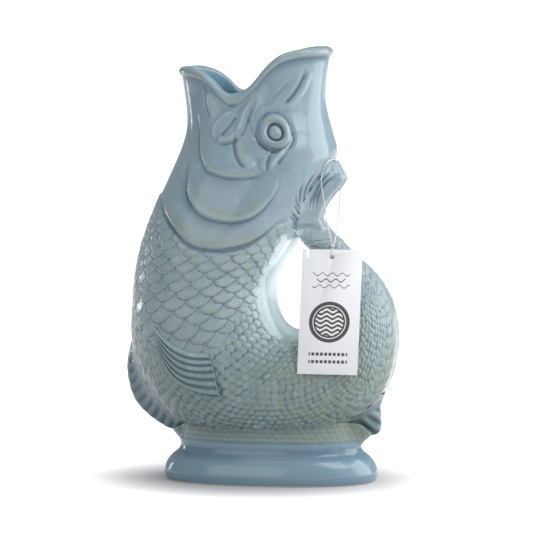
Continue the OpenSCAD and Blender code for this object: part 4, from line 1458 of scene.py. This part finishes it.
@dataclass
class Tag:
    """The swing tag: a card on a loop, hung by its string from the tail fin."""

    top: tuple[float, float, float] = (51.84 * MM, -21.008 * MM, 156.13 * MM)
    lean: float = 14.2
    width: float = 40 * MM
    height: float = 83 * MM
    thick: float = 0.6 * MM
    hole: float = 2.9 * MM
    hole_drop: float = 4.9 * MM
    twine: float = 0.8 * MM
    knot: float = 2.4 * MM
    loop_gap: float = 0.35 * MM
    loop_power: float = 0.6
    plies: int = 2
    twist: float = 2.6 * MM
    twine_sides: int = 16

    def hung(self, points: Array) -> Array:
        """Lean points with the card.

        Args:
            points: Points on the upright card, from its knot.

        Returns:
            The same points on the leaning card, in the scene.
        """
        a = math.radians(-self.lean)
        y = points[:, 1] * math.cos(a) - points[:, 2] * math.sin(a)
        z = points[:, 1] * math.sin(a) + points[:, 2] * math.cos(a)
        return np.stack([points[:, 0], y, z], axis=1) + np.array(self.top)

    def twisted(self, name: str, path: Array, closed: bool) -> bpy.types.Object:
        """Make a length of twisted twine along a path.

        Args:
            name: Name of the piece.
            path: Points of its centreline, close together.
            closed: Whether the path is a ring.

        Returns:
            The new object.
        """
        ahead = np.roll(path, -1, axis=0) if closed else np.concatenate([path[1:], path[-1:]])
        behind = np.roll(path, 1, axis=0) if closed else np.concatenate([path[:1], path[:-1]])
        tangent = ahead - behind
        tangent /= np.linalg.norm(tangent, axis=1, keepdims=True)
        u = np.cross(tangent, [1.0, 0.0, 0.0])
        u /= np.linalg.norm(u, axis=1, keepdims=True)
        v = np.cross(tangent, u)
        step = np.linalg.norm(np.diff(path, axis=0), axis=1)
        length = np.concatenate([[0], np.cumsum(step)])
        whole = length[-1] + (np.linalg.norm(path[0] - path[-1]) if closed else 0)
        turns = max(round(whole / self.twist), 1) / whole
        around = np.linspace(0, 2 * math.pi, self.twine_sides, endpoint=False)
        wound = around[None] - 2 * math.pi * turns * length[:, None]
        lobe = np.abs(np.cos(wound * self.plies / 2))
        radius = self.twine / 2 * (0.70 + 0.30 * lobe)
        points = (path[:, None] + radius[..., None]
                  * (np.cos(around)[None, :, None] * u[:, None]
                     + np.sin(around)[None, :, None] * v[:, None]))
        rows = len(path)
        vertices = points.reshape(-1, 3)
        faces = [quads(rows, self.twine_sides, 0, True)]
        j, k = ring_pairs(self.twine_sides)
        last = (rows - 1) * self.twine_sides
        if closed:
            faces.append(np.stack([last + j, last + k, k, j], axis=1))
        else:
            count = len(vertices)
            vertices = np.concatenate([vertices, path[:1], path[-1:]])
            faces += [fan(k, j, count), fan(last + j, last + k, count + 1)]
        # Mark for the material: low between the plies, where the twine is painted in shade.
        pool = np.append(lobe.ravel(), [0.5, 0.5]) if not closed else lobe.ravel()
        return clay_piece(name, vertices, np.concatenate(faces), None, {"pool": pool})

    def build_string(self) -> bpy.types.Object:
        route = np.array(STRING_ROUTE)
        path = spline(route, np.linspace(0, len(route) - 1, 20 * (len(route) - 1) + 1))
        string = self.twisted("tag_twine", path, False)
        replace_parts(string, "tag_string")
        return string

    def build_knot(self) -> bpy.types.Object:
        """Make the knot, a ball of crossing turns of twine."""
        deselect_all()
        bpy.ops.mesh.primitive_uv_sphere_add(segments=64, ring_count=40, radius=self.knot / 2)
        knot = named("twine_knot")
        points = corners(knot)
        unit = points / np.linalg.norm(points, axis=1, keepdims=True)
        first = np.cos(9 * unit[:, 2] + 2.2 * unit[:, 0])
        second = np.cos(8 * unit[:, 0] + 2.5 * unit[:, 1])
        over = smoothstep(-0.25, 0.25, unit[:, 1] + 0.5 * unit[:, 0])
        turns = np.abs(first) * over + np.abs(second) * (1 - over)
        points = unit * (self.knot / 2) * (0.84 + 0.16 * turns**0.6)[:, None]
        set_corners(knot, self.hung(points + np.array([0, -self.thick / 2, self.knot])))
        knot.data.shade_smooth()
        # Low between the knot's turns, where the twine is painted in shade.
        mark_all(knot.data, "pool", turns)
        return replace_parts(knot, "string_knot")

    def build_loop(self) -> bpy.types.Object:
        """Make the bight of twine through the card's hole."""
        low = -self.hole_drop
        high = self.knot / 2 - 0.3 * MM - self.twine / 2
        middle, half = (high + low) / 2, (high - low) / 2
        half_y = self.thick / 2 + self.loop_gap + self.twine / 2
        turn = np.linspace(0, 2 * math.pi, 90, endpoint=False)
        path = np.stack([0 * turn,
                         half_y * signed_power(np.sin(turn), self.loop_power) - self.thick / 2,
                         middle + half * signed_power(np.cos(turn), self.loop_power)], axis=1)
        path = self.hung(path)
        gaps = np.linalg.norm(np.roll(path, -1, axis=0) - path, axis=1)
        length = np.concatenate([[0], np.cumsum(gaps)])
        ring = np.concatenate([path, path[:1]])
        even = np.linspace(0, length[-1], 100, endpoint=False)
        path = np.stack([np.interp(even, length, ring[:, axis]) for axis in range(3)], axis=1)
        loop = self.twisted("twine_loop", path, True)
        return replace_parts(loop, "tag_loop")

    def build_card(self) -> bpy.types.Object:
        """Cut the card, punch its hole and soften its edges."""
        deselect_all()
        bpy.ops.mesh.primitive_cube_add(size=1, location=(0, -self.thick / 2, -self.height / 2))
        card = named("tag_card_stock")
        card.scale = (self.width, self.thick, self.height)
        bpy.ops.object.transform_apply(location=True, rotation=True, scale=True)
        deselect_all()
        bpy.ops.mesh.primitive_cylinder_add(
            vertices=64, radius=self.hole / 2, depth=6 * self.thick,
            location=(0, -self.thick / 2, -self.hole_drop), rotation=(math.pi / 2, 0, 0))
        punch = named("punch")
        bpy.ops.object.transform_apply(location=True, rotation=True, scale=True)
        pick(card)
        cut = card.modifiers.new("hole", "BOOLEAN")
        cut.operation, cut.object, cut.solver = "DIFFERENCE", punch, "EXACT"
        bpy.ops.object.modifier_apply(modifier=cut.name)
        bpy.data.objects.remove(punch, do_unlink=True)
        soft = card.modifiers.new("edge", "BEVEL")
        soft.width, soft.segments, soft.limit_method = 0.12 * MM, 2, "ANGLE"
        bpy.ops.object.modifier_apply(modifier=soft.name)
        flat = corners(card)
        mark_all(card.data, "print_at", flat / MM)
        set_corners(card, self.hung(flat))
        bpy.ops.object.shade_smooth_by_angle(angle=math.radians(40))
        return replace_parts(card, "tag_card")


class Wire:
    """A socket's value in shader maths, whose operators add Math nodes."""

    def __init__(self, bench: "Bench", socket: bpy.types.NodeSocket) -> None:
        """Hold a socket of a bench's material."""
        self.bench = bench
        self.socket = socket

    def maths(self, operation: str, *values: "Wire | float") -> "Wire":
        """Add a Math node and return its result."""
        sockets = dict(enumerate(values))
        return self.bench.node("Math", {"operation": operation}, sockets)

    def __add__(self, other: "Wire | float") -> "Wire":
        """Add."""
        return self.maths("ADD", self, other)

    def __radd__(self, other: float) -> "Wire":
        """Add to a number."""
        return self.maths("ADD", other, self)

    def __sub__(self, other: "Wire | float") -> "Wire":
        """Subtract."""
        return self.maths("SUBTRACT", self, other)

    def __rsub__(self, other: float) -> "Wire":
        """Subtract from a number."""
        return self.maths("SUBTRACT", other, self)

    def __mul__(self, other: "Wire | float") -> "Wire":
        """Multiply."""
        return self.maths("MULTIPLY", self, other)

    def __rmul__(self, other: float) -> "Wire":
        """Multiply a number."""
        return self.maths("MULTIPLY", other, self)

    def __truediv__(self, other: "Wire | float") -> "Wire":
        """Divide."""
        return self.maths("DIVIDE", self, other)

    def __pow__(self, other: float) -> "Wire":
        """Raise to a power."""
        return self.maths("POWER", self, other)

    def __abs__(self) -> "Wire":
        """Drop the sign."""
        return self.maths("ABSOLUTE", self)

    def sine(self) -> "Wire":
        """Return the sine of a value in radians."""
        return self.maths("SINE", self)

    def most(self, other: "Wire | float") -> "Wire":
        """Return the higher of two values."""
        return self.maths("MAXIMUM", self, other)

    def ease(self, low: float, high: float) -> "Wire":
        """Ease between two values.

        Args:
            low: Where the result is 0.
            high: Where it is 1; this may be the lower of the two.

        Returns:
            The eased value.
        """
        start, end = (low, high) if low < high else (high, low)
        eased = self.bench.node("MapRange", {"interpolation_type": "SMOOTHSTEP"},
                                {"Value": self, "From Min": start, "From Max": end})
        return eased if low < high else 1 - eased


class Bench:
    """One material's nodes and its shader."""

    def __init__(self, name: str) -> None:
        """Start a material with an empty Principled shader."""
        self.material = bpy.data.materials.new(name)
        self.material.use_nodes = True
        self.tree = self.material.node_tree
        self.tree.nodes.clear()
        self.shader = self.tree.nodes.new("ShaderNodeBsdfPrincipled")
        output = self.tree.nodes.new("ShaderNodeOutputMaterial")
        self.tree.links.new(self.shader.outputs[0], output.inputs[0])

    def feed(self, socket: bpy.types.NodeSocket, value: Any) -> None:
        """Link a wire to a socket, or set the socket's own value."""
        if isinstance(value, Wire):
            self.tree.links.new(value.socket, socket)
        else:
            socket.default_value = value

    def node(self, kind: str, settings: dict[str, Any], sockets: dict[Any, Any],
             output: int | str = 0) -> Wire:
        """Add a shader node.

        Args:
            kind: Its type, without the ShaderNode in front.
            settings: Its settings, set before its sockets.
            sockets: Values or wires of its sockets, by name or index.
            output: Which output to return.

        Returns:
            The output's wire.
        """
        made = self.tree.nodes.new("ShaderNode" + kind)
        for key, value in settings.items():
            setattr(made, key, value)
        for key, value in sockets.items():
            self.feed(made.inputs[key], value)
        return Wire(self, made.outputs[output])

    def place(self) -> Wire:
        """Return object coordinates."""
        return self.node("TexCoord", {}, {}, "Object")

    def mark(self, name: str) -> Wire:
        """Return a point attribute's value."""
        return self.node("Attribute", {"attribute_name": name}, {}, "Fac")

    def noise(self, at: Wire, scale: float, detail: float = 2.0, rough: float = 0.5) -> Wire:
        """Return a cloudy pattern from 0 to 1."""
        return self.node("TexNoise", {}, {"Vector": at, "Scale": scale, "Detail": detail,
                                          "Roughness": rough})

    def mix(self, share: Wire | float, first: Any, second: Any) -> Wire:
        """Mix two colours."""
        return self.node("Mix", {"data_type": "RGBA"}, {0: share, 6: first, 7: second}, 2)

    def bump(self, height: Wire, depth: float, strength: float = 1.0) -> Wire:
        """Return normals roughened by a height pattern of a real depth."""
        return self.node("Bump", {}, {"Strength": strength, "Distance": depth,
                                      "Height": height})

    def finish(self, **sockets: Any) -> bpy.types.Material:
        """Set the shader's sockets, with _ for a space in a name, and return the material."""
        for key, value in sockets.items():
            self.feed(self.shader.inputs[key.replace("_", " ")], value)
        return self.material


def paint(red: int, green: int, blue: int) -> tuple[float, float, float, float]:
    """Turn a screen colour of 0 to 255 into the shader's linear one."""
    def one(c: int) -> float:
        """Turn one channel."""
        x = c / 255
        return x / 12.92 if x <= 0.04045 else ((x + 0.055) / 1.055)**2.4
    return (one(red), one(green), one(blue), 1.0)


@dataclass(frozen=True)
class BlueGlaze:
    """Glossy blue-grey glaze: olive where it runs thin on edges, deep where it pools.

    It fires greener low on the fish, where it is also darker as painted shade under the belly,
    and bluer on the head and the plinth. Its deep tone is glaze pooling on the skin; on the
    plinth, the fins and the eyes its deep and light tones are also painted shade and painted
    highlights.
    """

    name: str = "blue_glaze"
    head: tuple[int, int, int] = (134, 155, 165)
    trunk: tuple[int, int, int] = (150, 165, 168)
    belly: tuple[int, int, int] = (120, 137, 134)
    plinth: tuple[int, int, int] = (118, 145, 160)
    mottle: tuple[int, int, int] = (122, 148, 160)
    deep: tuple[int, int, int] = (82, 114, 134)
    darkest_pool_and_shade: tuple[int, int, int] = (52, 76, 90)
    olive: tuple[int, int, int] = (140, 148, 118)
    thin_glaze_and_highlight: tuple[int, int, int] = (172, 186, 184)
    streak: tuple[int, int, int] = (158, 182, 192)
    bisque: tuple[int, int, int] = (205, 190, 168)

    def material(self) -> bpy.types.Material:
        """Make the material."""
        bench = Bench(self.name)
        at = bench.place()
        high = bench.node("SeparateXYZ", {}, {0: at}, 2)
        pool = bench.mark("pool")
        bare = bench.mark("rough")
        cloud = bench.noise(at, 22, 3)
        drift = bench.noise(at, 70, 3)
        speck = bench.noise(at, 900, 2, 0.6)
        wander = high + (cloud - 0.5) * 0.05
        # Tones by height: greener low on the fish, and darker there as painted shade under the
        # belly.
        colour = bench.mix(wander.ease(0.2, 0.15), paint(*self.head), paint(*self.trunk))
        colour = bench.mix(wander.ease(0.125, 0.065), colour, paint(*self.belly))
        across = bench.node("SeparateXYZ", {}, {0: at}, 0)
        warm = across.ease(-0.01, 0.05) * wander.ease(0.12, 0.07)
        colour = bench.mix(warm * 0.3, colour, paint(*self.olive))
        colour = bench.mix(high.ease(0.031, 0.026), colour, paint(*self.plinth))
        colour = bench.mix(drift.ease(0.45, 0.68) * 0.4, colour, paint(*self.mottle))
        drawn = bench.node("Mapping", {}, {"Vector": at, "Scale": (1.0, 1.0, 0.3)})
        runs = bench.noise(drawn, 95, 4, 0.6)
        colour = bench.mix(runs.ease(0.5, 0.72) * high.ease(0.03, 0.04) * 0.35, colour,
                           paint(*self.streak))
        # Darker where the mark is low: glaze pooling in grooves, and painted shade where the
        # plinth's neck, the foot's bottom edge and the belly fins are set low.
        colour = bench.mix(pool.ease(0.5, 0.12) * 0.62, colour, paint(*self.deep))
        colour = bench.mix(pool.ease(0.22, 0.02) * 0.5, colour, paint(*self.darkest_pool_and_shade))
        colour = bench.mix(pool.ease(0.62, 0.74) * pool.ease(0.95, 0.8)
                           * drift.ease(0.3, 0.6) * 0.45, colour, paint(*self.olive))
        # Lighter where the mark is high: thin glaze on crests, and painted highlights on the
        # plinth's bands and the eyes.
        colour = bench.mix(pool.ease(0.7, 1.0) * 0.35, colour, paint(*self.thin_glaze_and_highlight))
        colour = bench.mix(speck.ease(0.66, 0.74) * 0.2, colour, paint(*self.deep))
        colour = bench.mix(bare, colour, paint(*self.bisque))
        ripple = bench.noise(at, 190, 2) * 0.7 + bench.noise(at, 620, 2) * 0.3
        return bench.finish(
            Base_Color=colour, Roughness=0.12 + 0.06 * drift + 0.55 * bare, IOR=1.5,
            Normal=bench.bump(ripple, 0.35 * MM, 0.35))


@dataclass(frozen=True)
class InsideGlaze:
    """The same glaze where it lies thick inside the casting, in lighter tones than outside:
    painted light that brightens the shaded inside of the mouth.
    """

    name: str = "inside_glaze"
    # Both tones are lighter than the outer glaze: painted light for the dim inside.
    near: tuple[int, int, int] = (132, 172, 190)
    far: tuple[int, int, int] = (96, 140, 162)

    def material(self) -> bpy.types.Material:
        """Make the material."""
        bench = Bench(self.name)
        at = bench.place()
        runs = bench.noise(at, 40, 3)
        colour = bench.mix(runs.ease(0.35, 0.65), paint(*self.near), paint(*self.far))
        return bench.finish(Base_Color=colour, Roughness=0.1 + 0.06 * runs, IOR=1.5,
                            Normal=bench.bump(bench.noise(at, 150, 2), 0.4 * MM, 0.3))


@dataclass(frozen=True)
class Twine:
    """Soft white twisted cotton twine."""

    name: str = "white_twine"
    top: tuple[int, int, int] = (222, 220, 212)
    # Darker tone between the plies and the knot's turns: painted shade.
    groove: tuple[int, int, int] = (150, 148, 142)

    def material(self) -> bpy.types.Material:
        """Make the material."""
        bench = Bench(self.name)
        at = bench.place()
        ply_shade = bench.mark("pool")
        fibre = bench.noise(at, 3200, 3, 0.7)
        # Darker between the plies: painted shade.
        colour = bench.mix(ply_shade.ease(0.45, 0.0), paint(*self.top), paint(*self.groove))
        colour = bench.mix(fibre.ease(0.55, 0.75) * 0.35, colour, paint(*self.groove))
        return bench.finish(Base_Color=colour, Roughness=0.85 + 0.1 * fibre,
                            Normal=bench.bump(fibre, 0.12 * MM, 0.6))


@dataclass(frozen=True)
class PrintedCard:
    """Smooth white card printed with plain waves, a ringed disc and rules of dots."""

    name: str = "printed_card"
    stock: tuple[int, int, int] = (236, 236, 238)
    ink: tuple[int, int, int] = (28, 28, 30)
    disc_drop: float = 48.3
    disc_radius: float = 13.6

    def material(self) -> bpy.types.Material:
        """Make the material."""
        bench = Bench(self.name)
        spot = bench.node("Attribute", {"attribute_name": "print_at"}, {}, "Vector")
        x = bench.node("SeparateXYZ", {}, {0: spot}, 0)
        y = bench.node("SeparateXYZ", {}, {0: spot}, 1)
        z = bench.node("SeparateXYZ", {}, {0: spot}, 2)
        front = y.ease(-0.4, -0.55)
        marks: Wire | None = None
        for drop, reach, weight in ((16.6, 12.5, 0.3), (20.6, 9.5, 0.42), (24.6, 12.5, 0.3)):
            line = abs(z + drop + (x * 0.95 + drop).sine() * 1.0)
            wave = line.ease(weight + 0.12, weight - 0.12) * abs(x).ease(reach + 0.2, reach - 0.2)
            marks = wave if marks is None else marks.most(wave)
        under = z + self.disc_drop
        away = (x * x + under * under) ** 0.5
        disc = away.ease(self.disc_radius + 0.12, self.disc_radius - 0.12)
        ring = abs(away - 10.9).ease(0.42, 0.2)
        ripple = abs(under + (x * 0.8).sine() * 0.9)
        bands = abs((ripple * 1.05).sine()).ease(0.62, 0.82) * away.ease(9.6, 9.2)
        marks = marks.most(disc - ring.most(bands) * disc)
        dots = abs((x * 1.1).sine()).ease(0.35, 0.6)
        for drop, reach in ((69.6, 12.9), (74.6, 12.9)):
            row = abs(z + drop).ease(1.15, 0.9) * abs(x).ease(reach + 0.2, reach - 0.2)
            marks = marks.most(row * dots)
        grain = bench.noise(bench.place(), 1500, 3, 0.6)
        colour = bench.mix(grain.ease(0.4, 0.7) * 0.2, paint(*self.stock), paint(226, 226, 227))
        colour = bench.mix(marks * front * 0.94, colour, paint(*self.ink))
        return bench.finish(Base_Color=colour, Roughness=0.5 + 0.12 * grain,
                            Normal=bench.bump(grain, 0.04 * MM, 0.4))


def toward(azimuth: float, elevation: float) -> Vector:
    """Return the direction from the object to the given azimuth and elevation, in degrees."""
    a, e = math.radians(azimuth), math.radians(elevation)
    return Vector((math.sin(a) * math.cos(e), -math.cos(a) * math.cos(e), math.sin(e)))


@dataclass(frozen=True)
class Panel:
    """One soft panel that faces the object.

    Attributes:
        name: Its name.
        azimuth: Side that it stands on, as the camera's azimuth.
        elevation: Degrees over the horizon.
        distance: Metres from the point that it faces.
        size: Width and height of the panel, in metres.
        power: Watts.
        aim: The point that it faces.
    """

    name: str
    azimuth: float
    elevation: float
    distance: float
    size: tuple[float, float]
    power: float
    aim: tuple[float, float, float] = (0.0, 0.0, 0.15)

    def hang(self) -> None:
        """Add the panel to the scene."""
        data = bpy.data.lights.new(self.name, "AREA")
        data.shape, data.size, data.size_y = "RECTANGLE", self.size[0], self.size[1]
        data.energy = self.power
        lamp = bpy.data.objects.new(self.name, data)
        bpy.context.scene.collection.objects.link(lamp)
        back = toward(self.azimuth, self.elevation)
        lamp.location = Vector(self.aim) + back * self.distance
        lamp.rotation_mode = "QUATERNION"
        lamp.rotation_quaternion = (-back).to_track_quat("-Z", "Y")


@dataclass
class Studio:
    """Camera, lights and floor.

    Attributes:
        azimuth: Side that the camera stands on: degrees from the front to the right.
        elevation: Degrees over the horizon.
        distance: Metres from the camera to its target.
        target: The point that it looks at.
        pixel: Size of a picture point at the target, in metres.
        sensor: Width of the sensor, in millimetres.
        panels: The lights. The last one hangs in the gap between trunk and tail.
        shadow_from: Distance from the middle up to which the floor doesn't glow, in metres.
        shadow_to: Distance from which it glows white.
    """

    azimuth: float = 11.0
    elevation: float = 5.2
    distance: float = 3.0
    target: tuple[float, float, float] = (3.35 * MM, 0.0, 142.3 * MM)
    pixel: float = 0.665 * MM
    sensor: float = 36.0
    panels: tuple[Panel, ...] = (
        Panel("right_panel", 102, 14, 1.2, (1.0, 1.4), 16),
        Panel("right_fill", 64, 16, 1.5, (0.7, 1.4), 2.5),
        Panel("high_panel", 56, 44, 1.3, (0.6, 0.6), 4.5),
        Panel("left_strip", -112, 3, 1.2, (0.1, 0.3), 0.8),
        Panel("top_panel", 10, 78, 1.2, (1.2, 1.2), 4),
        Panel("front_fill", -22, 20, 2.2, (1.8, 1.4), 10.5),
        Panel("loop_glow", 90, 0, 0.04, (0.03, 0.06), 0.022, (-4 * MM, -8 * MM, 126 * MM)),
    )
    shadow_from: float = 0.045
    shadow_to: float = 0.14

    def build_camera(self) -> None:
        """Place the camera where the photograph was taken from."""
        data = bpy.data.cameras.new("camera")
        data.sensor_width = self.sensor
        data.lens = self.sensor * self.distance / (self.pixel * PHOTO_SIDE)
        data.clip_start, data.clip_end = 0.05, 30
        camera = bpy.data.objects.new("camera", data)
        bpy.context.scene.collection.objects.link(camera)
        back = toward(self.azimuth, self.elevation)
        camera.location = Vector(self.target) + back * self.distance
        camera.rotation_mode = "QUATERNION"
        camera.rotation_quaternion = (-back).to_track_quat("-Z", "Y")
        bpy.context.scene.camera = camera

    def build_lights(self) -> None:
        """Hang the soft panels and set the pale room."""
        for panel in self.panels:
            panel.hang()
        world = bpy.data.worlds.new("room")
        bpy.context.scene.world = world
        world.use_nodes = True
        tree = world.node_tree
        tree.nodes.clear()
        room = tree.nodes.new("ShaderNodeBackground")
        room.inputs[0].default_value = (0.92, 0.96, 1.0, 1)
        room.inputs[1].default_value = 0.4
        seen = tree.nodes.new("ShaderNodeBackground")
        seen.inputs[0].default_value = (1, 1, 1, 1)
        seen.inputs[1].default_value = 1.0
        path = tree.nodes.new("ShaderNodeLightPath")
        chosen = tree.nodes.new("ShaderNodeMixShader")
        output = tree.nodes.new("ShaderNodeOutputWorld")
        direct = tree.nodes.new("ShaderNodeMath")
        direct.operation = "MAXIMUM"
        tree.links.new(path.outputs["Is Camera Ray"], direct.inputs[0])
        tree.links.new(path.outputs["Is Transmission Ray"], direct.inputs[1])
        tree.links.new(direct.outputs[0], chosen.inputs[0])
        tree.links.new(room.outputs[0], chosen.inputs[1])
        tree.links.new(seen.outputs[0], chosen.inputs[2])
        tree.links.new(chosen.outputs[0], output.inputs[0])

    def build_floor(self) -> None:
        """Lay a white floor that keeps the jug's shadow; it glows white only away from the jug, so
        the unlit grey oval round the base is a painted shadow.
        """
        deselect_all()
        bpy.ops.mesh.primitive_plane_add(size=16, location=(0, 0, -0.05 * MM))
        floor = named("floor")
        bpy.ops.object.transform_apply(location=True, rotation=True, scale=True)
        bench = Bench("white_floor")
        place = bench.place()
        x = bench.node("SeparateXYZ", {}, {0: place}, 0)
        y = bench.node("SeparateXYZ", {}, {0: place}, 1)
        away = (x * x * 0.8 + y * y) ** 0.5
        seen = bench.node("LightPath", {}, {}, "Is Camera Ray").most(
            bench.node("LightPath", {}, {}, "Is Glossy Ray")).most(
            bench.node("LightPath", {}, {}, "Is Transmission Ray"))
        # Painted shadow: the floor glows white only outside an oval round the jug and stays unlit
        # grey inside it.
        glow = bench.mix(away.ease(self.shadow_from, self.shadow_to), (0, 0, 0, 1), (1, 1, 1, 1))
        bench.finish(Base_Color=(0.5, 0.49, 0.5, 1), Roughness=0.7,
                     Emission_Color=bench.mix(seen, (0, 0, 0, 1), glow),
                     Emission_Strength=1.0)
        floor.data.materials.append(bench.material)


def dress(piece: bpy.types.Object, body: str, slot: str, *materials: bpy.types.Material) -> None:
    """Give a piece its finish and report it.

    Args:
        piece: The piece.
        body: The body that it rides on.
        slot: Its material slot; not used.
        materials: Its materials, one for each slot of the mesh.
    """
    for index, material in enumerate(materials):
        if index < len(piece.data.materials):
            piece.data.materials[index] = material
        else:
            piece.data.materials.append(material)
    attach(piece, body)
    LOG.info("%s: %d faces on %s", piece.name, len(piece.data.polygons), body)


def main() -> None:
    """Build the jug and its studio, in order."""
    logging.basicConfig(level=logging.INFO, format="%(name)s: %(message)s")
    bpy.context.scene.view_settings.view_transform = "Standard"
    studio = Studio()
    studio.build_camera()
    tag = Tag()
    twine = Twine().material()
    dress(tag.build_string(), "jug", "string", twine)
    glaze = BlueGlaze().material()
    inside = InsideGlaze().material()
    for skin in Casting().build():
        dress(skin, "jug", "glaze", glaze, inside)
    dress(TailFin().build(), "jug", "glaze", glaze)
    dress(Plinth().build(), "jug", "glaze", glaze)
    fins = (
        MidlineFin("belly_fin", ((0.462, 0.04), (0.475, 0.3), (0.490, 0.62), (0.505, 0.82),
                                 (0.520, 0.94), (0.535, 0.87), (0.550, 0.7), (0.560, 0.5),
                                 (0.567, 0.4)),
                   height=14.5 * MM, flute=6.2 * MM, lean=0.15, depth=0.9 * MM),
        MidlineFin("vent_fin", ((0.697, 0.24), (0.705, 0.52), (0.714, 0.86), (0.720, 1),
                                (0.725, 0.8), (0.730, 0.46), (0.735, 0.2), (0.745, 0.04)),
                   height=15.5 * MM, flute=6.4 * MM, lean=0.2, depth=1.4 * MM))
    for fin in fins:
        dress(fin.build(), "jug", "glaze", glaze)
    for side in Side:
        dress(SideFins().build(side), "jug", "glaze", glaze)
        for piece in Eyes().build(side):
            dress(piece, "jug", "glaze", glaze)
    dress(tag.build_knot(), "knot", "string", twine)
    dress(tag.build_loop(), "tag", "string", twine)
    dress(tag.build_card(), "tag", "card", PrintedCard().material())
    studio.build_lights()
    studio.build_floor()


if __name__ == "__main__":
    main()
